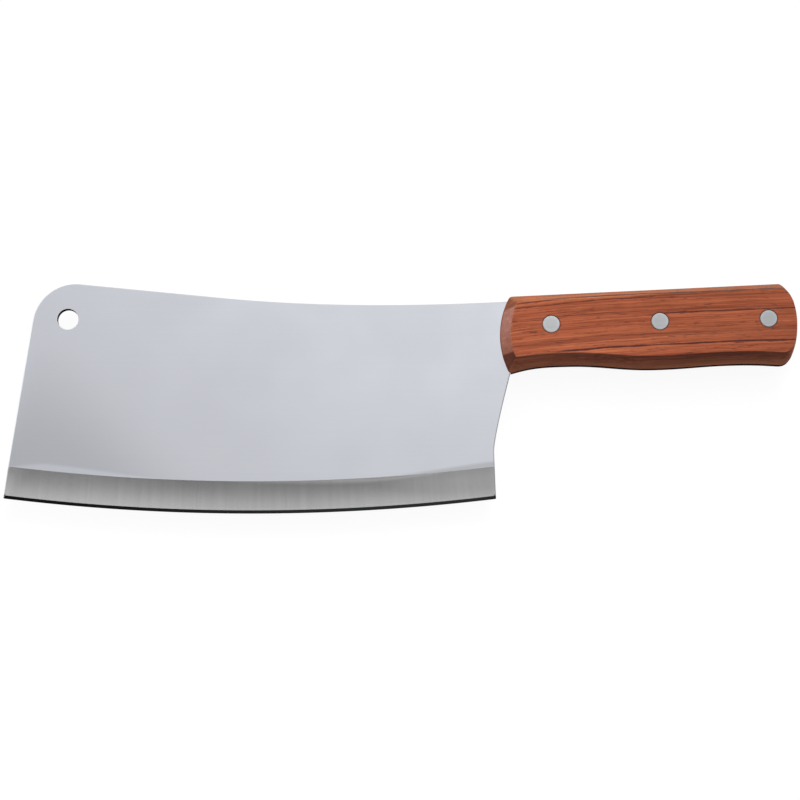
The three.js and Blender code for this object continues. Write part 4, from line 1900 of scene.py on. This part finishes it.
        uneven = (-finish.fibre_roughness, finish.fibre_roughness)
        rough = w.math("ADD", w.spread(fibres, *finish.rough_fibres, *uneven), finish.roughness)
        rough = w.math("MULTIPLY_ADD", pores, finish.pore_roughness, rough)
        relief = w.times(fibres, finish.fibre_height)
        relief = w.math("MULTIPLY_ADD", pores, finish.pore_height, relief)
        relief = w.math("MULTIPLY_ADD", veins, finish.vein_height, relief)
        bump = {"Strength": finish.bump, "Distance": finish.bump_depth * MM, "Height": relief}
        polished = w.times(w.math("SUBTRACT", front, darkened_front), w.math("SUBTRACT", 1.0, toe))
        coat = w.spread(facing_y, *finish.top_facing, *finish.side_and_top_coat)
        values = {
            "Base Color": colour,
            "Roughness": rough,
            "Normal": w.out("ShaderNodeBump", bump),
            "Coat Weight": w.math("MULTIPLY_ADD", polished, finish.front_coat, coat),
            "Coat Roughness": finish.coat_roughness,
            "Specular IOR Level": 0.0,
        }
        w.feed_all(shader.inputs, values)
        return material


# Studio


# The sky's level by the part of its direction along Y, and a factor by the part along X.
SKY_BY_DEPTH = (
    (-1.0, 0.5), (-0.8, 0.66), (-0.6, 0.68), (-0.42, 0.46), (-0.25, 0.16), (-0.12, 0.32),
    (0.0, 0.73), (0.045, 0.73), (0.135, 0.99), (0.187, 1.46), (0.3, 1.68), (0.42, 1.2),
    (0.6, 1.0), (1.0, 0.95),
)
SKY_BY_LENGTH = (
    (-1.0, 1.1), (-0.78, 1.15), (-0.55, 1.1), (-0.35, 0.8), (-0.2, 0.54), (-0.118, 0.66),
    (-0.055, 1.03), (0.024, 1.06), (0.2, 1.08), (0.45, 0.85), (1.0, 0.8),
)


@dataclass(frozen=True)
class Studio:
    """The floor, the light and the camera."""

    aim: Vector = field(default_factory=lambda: Vector((-41.055, -29.524)))
    aim_height: float = 2.0
    distance: float = 1183.4
    tilt: float = 9.0
    focal_pixels: float = 2884.7
    picture_pixels: float = 800.0
    sensor: float = 36.0
    clip_start: float = 0.01
    clip_end: float = 100.0
    floor_size: float = 12.0
    floor_gap: float = 0.0003
    floor_white: float = 0.92
    floor_shade: float = 0.1
    floor_bounce: float = 0.3
    sun_strength: float = 1.35
    sun_height: float = 48.0
    sun_turn: float = 12.0
    sun_spread: float = 30.0

    def place_camera(self, drawing: Drawing) -> None:
        """Puts the camera where the photograph was taken from.

        Args:
            drawing: Where the drawing lies.
        """
        data = bpy.data.cameras.new("camera")
        data.sensor_width = self.sensor
        data.lens = self.focal_pixels * self.sensor / self.picture_pixels
        data.clip_start, data.clip_end = self.clip_start, self.clip_end
        camera = new_object("camera", data)
        tilt = math.radians(self.tilt)
        back = Vector((0.0, -math.sin(tilt), math.cos(tilt)))
        camera.location = drawing.point(self.aim, self.aim_height) + back * self.distance * MM
        camera.rotation_euler = (tilt, 0.0, 0.0)
        bpy.context.scene.camera = camera

    def lay_floor(self) -> None:
        """Lays a white floor that keeps the object's shadow and is clear from below."""
        sheet = bmesh.new()
        bmesh.ops.create_grid(sheet, x_segments=1, y_segments=1, size=self.floor_size / 2)
        bmesh.ops.translate(sheet, verts=sheet.verts, vec=(0.0, 0.0, -self.floor_gap))
        floor = new_object("floor", mesh_of("floor", sheet))

        material, w, shader = new_material("floor_white")
        w.tree.nodes.remove(shader)
        path = w.node("ShaderNodeLightPath").outputs
        seen = w.math("MAXIMUM", path["Is Camera Ray"], path["Is Glossy Ray"])
        seen = w.math("MAXIMUM", seen, path["Is Transmission Ray"])
        glow = w.out("ShaderNodeEmission", {"Color": WHITE, "Strength": self.floor_white})
        shaded, plain = (
            w.out("ShaderNodeBsdfDiffuse", {"Color": (grey,) * 3})
            for grey in (self.floor_shade, self.floor_bounce)
        )
        white = w.out("ShaderNodeAddShader", {0: shaded, 1: glow})
        lit = w.out("ShaderNodeMixShader", {0: seen, 1: plain, 2: white})
        clear = w.out("ShaderNodeBsdfTransparent")
        behind = w.node("ShaderNodeNewGeometry").outputs["Backfacing"]
        both = w.out("ShaderNodeMixShader", {0: behind, 1: lit, 2: clear})
        w.feed(w.find("OUTPUT_MATERIAL").inputs["Surface"], both)
        floor.data.materials.append(material)

    def light(self) -> None:
        """Lights the scene: a sky that is dim on the edge's side, and a sun behind the spine."""
        world = bpy.data.worlds.new("studio")
        world.use_nodes = True
        bpy.context.scene.world = world
        w = Wiring(world.node_tree)
        x, y, _ = w.split(w.node("ShaderNodeTexCoord").outputs["Generated"])
        sky = w.times(self._levels(w, y, SKY_BY_DEPTH), self._levels(w, x, SKY_BY_LENGTH))
        w.feed_all(w.find("BACKGROUND").inputs, {"Color": WHITE, "Strength": sky})

        lamp = bpy.data.lights.new("sun", "SUN")
        lamp.energy = self.sun_strength
        lamp.angle = math.radians(self.sun_spread)
        sun = new_object("sun", lamp)
        turn = (self.sun_height - 90.0, 0.0, -self.sun_turn)
        sun.rotation_euler = [math.radians(angle) for angle in turn]
        sun.visible_glossy = False

    @staticmethod
    def _levels(w: Wiring, value: Socket, levels: Sequence[tuple[float, float]]) -> Socket:
        """Reads a light level from a table.

        Args:
            w: The wiring of the world.
            value: A part of the direction, from -1 to 1.
            levels: The level at each value.

        Returns:
            The level.
        """
        top = max(level for _, level in levels)
        points = [(0.5 + 0.5 * place, level / top) for place, level in levels]
        return w.times(w.curve(w.math("MULTIPLY_ADD", value, 0.5, 0.5), points), top)


def main() -> None:
    """Builds the cleaver's pieces, dresses them and sets the scene."""
    logging.basicConfig(level=logging.INFO, format="%(name)s: %(message)s")
    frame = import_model()
    LOG.info("%d solids in the frame", len(frame["nodes"]))

    handle, blade, rivets, studio = Handle(), Blade(), Rivets(), Studio()
    low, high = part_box("front_rivet_tube")
    plate_low, plate_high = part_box("blade")
    first = (low + high) / 2
    first.z = (plate_low.z + plate_high.z) / 2
    away = turned(handle.rivet_places[0], handle.rise) * MM
    drawing = Drawing(first - Vector((away.x, away.y, 0.0)))
    materials = Materials(drawing, handle, blade)

    finishes = {
        Finish.FLAT: materials.steel(FLAT_STEEL),
        Finish.GROUND: materials.steel(GROUND_STEEL),
        Finish.EDGE: materials.steel(EDGE_PAINTED_DARK_STEEL),
        Finish.RIM: materials.steel(RIM_STEEL),
        Finish.DARK: materials.dark_steel(PaintedShadeFinish()),
        Finish.HOLE_RIM: materials.steel(HOLE_HIGHLIGHT_STEEL),
        Finish.SPINE: materials.steel(SPINE_STEEL),
    }
    blade_piece = blade.build(handle, drawing, finishes)
    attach(blade_piece, BODY)
    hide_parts("blade")
    LOG.info("blade: %d faces", len(blade_piece.data.polygons))

    woods = (
        ("front_scale", 1, WoodFinish("front_wood", FRONT_VEINS, FRONT_PALE, 3.0)),
        ("rear_scale", -1, WoodFinish("rear_wood", REAR_VEINS, REAR_PALE, 11.0)),
    )
    for node, side, wood in woods:
        scale = handle.build_scale(node + "_wood", side, drawing)
        scale.data.materials.append(materials.wood(wood))
        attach(scale, BODY)
        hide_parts(node)
        LOG.info("%s: %d faces", node, len(scale.data.polygons))

    rivet_piece = rivets.build(handle, drawing, materials.rivet_steel(RIVET_STEEL))
    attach(rivet_piece, BODY)
    places, parts = ("front", "middle", "rear"), ("tube", "post")
    halves = [f"{place}_rivet_{half}" for place in places for half in parts]
    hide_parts(*halves)
    LOG.info("rivets: %d faces", len(rivet_piece.data.polygons))

    studio.place_camera(drawing)
    studio.lay_floor()
    studio.light()
    bpy.context.scene.view_settings.view_transform = "Standard"


if __name__ == "__main__":
    main()
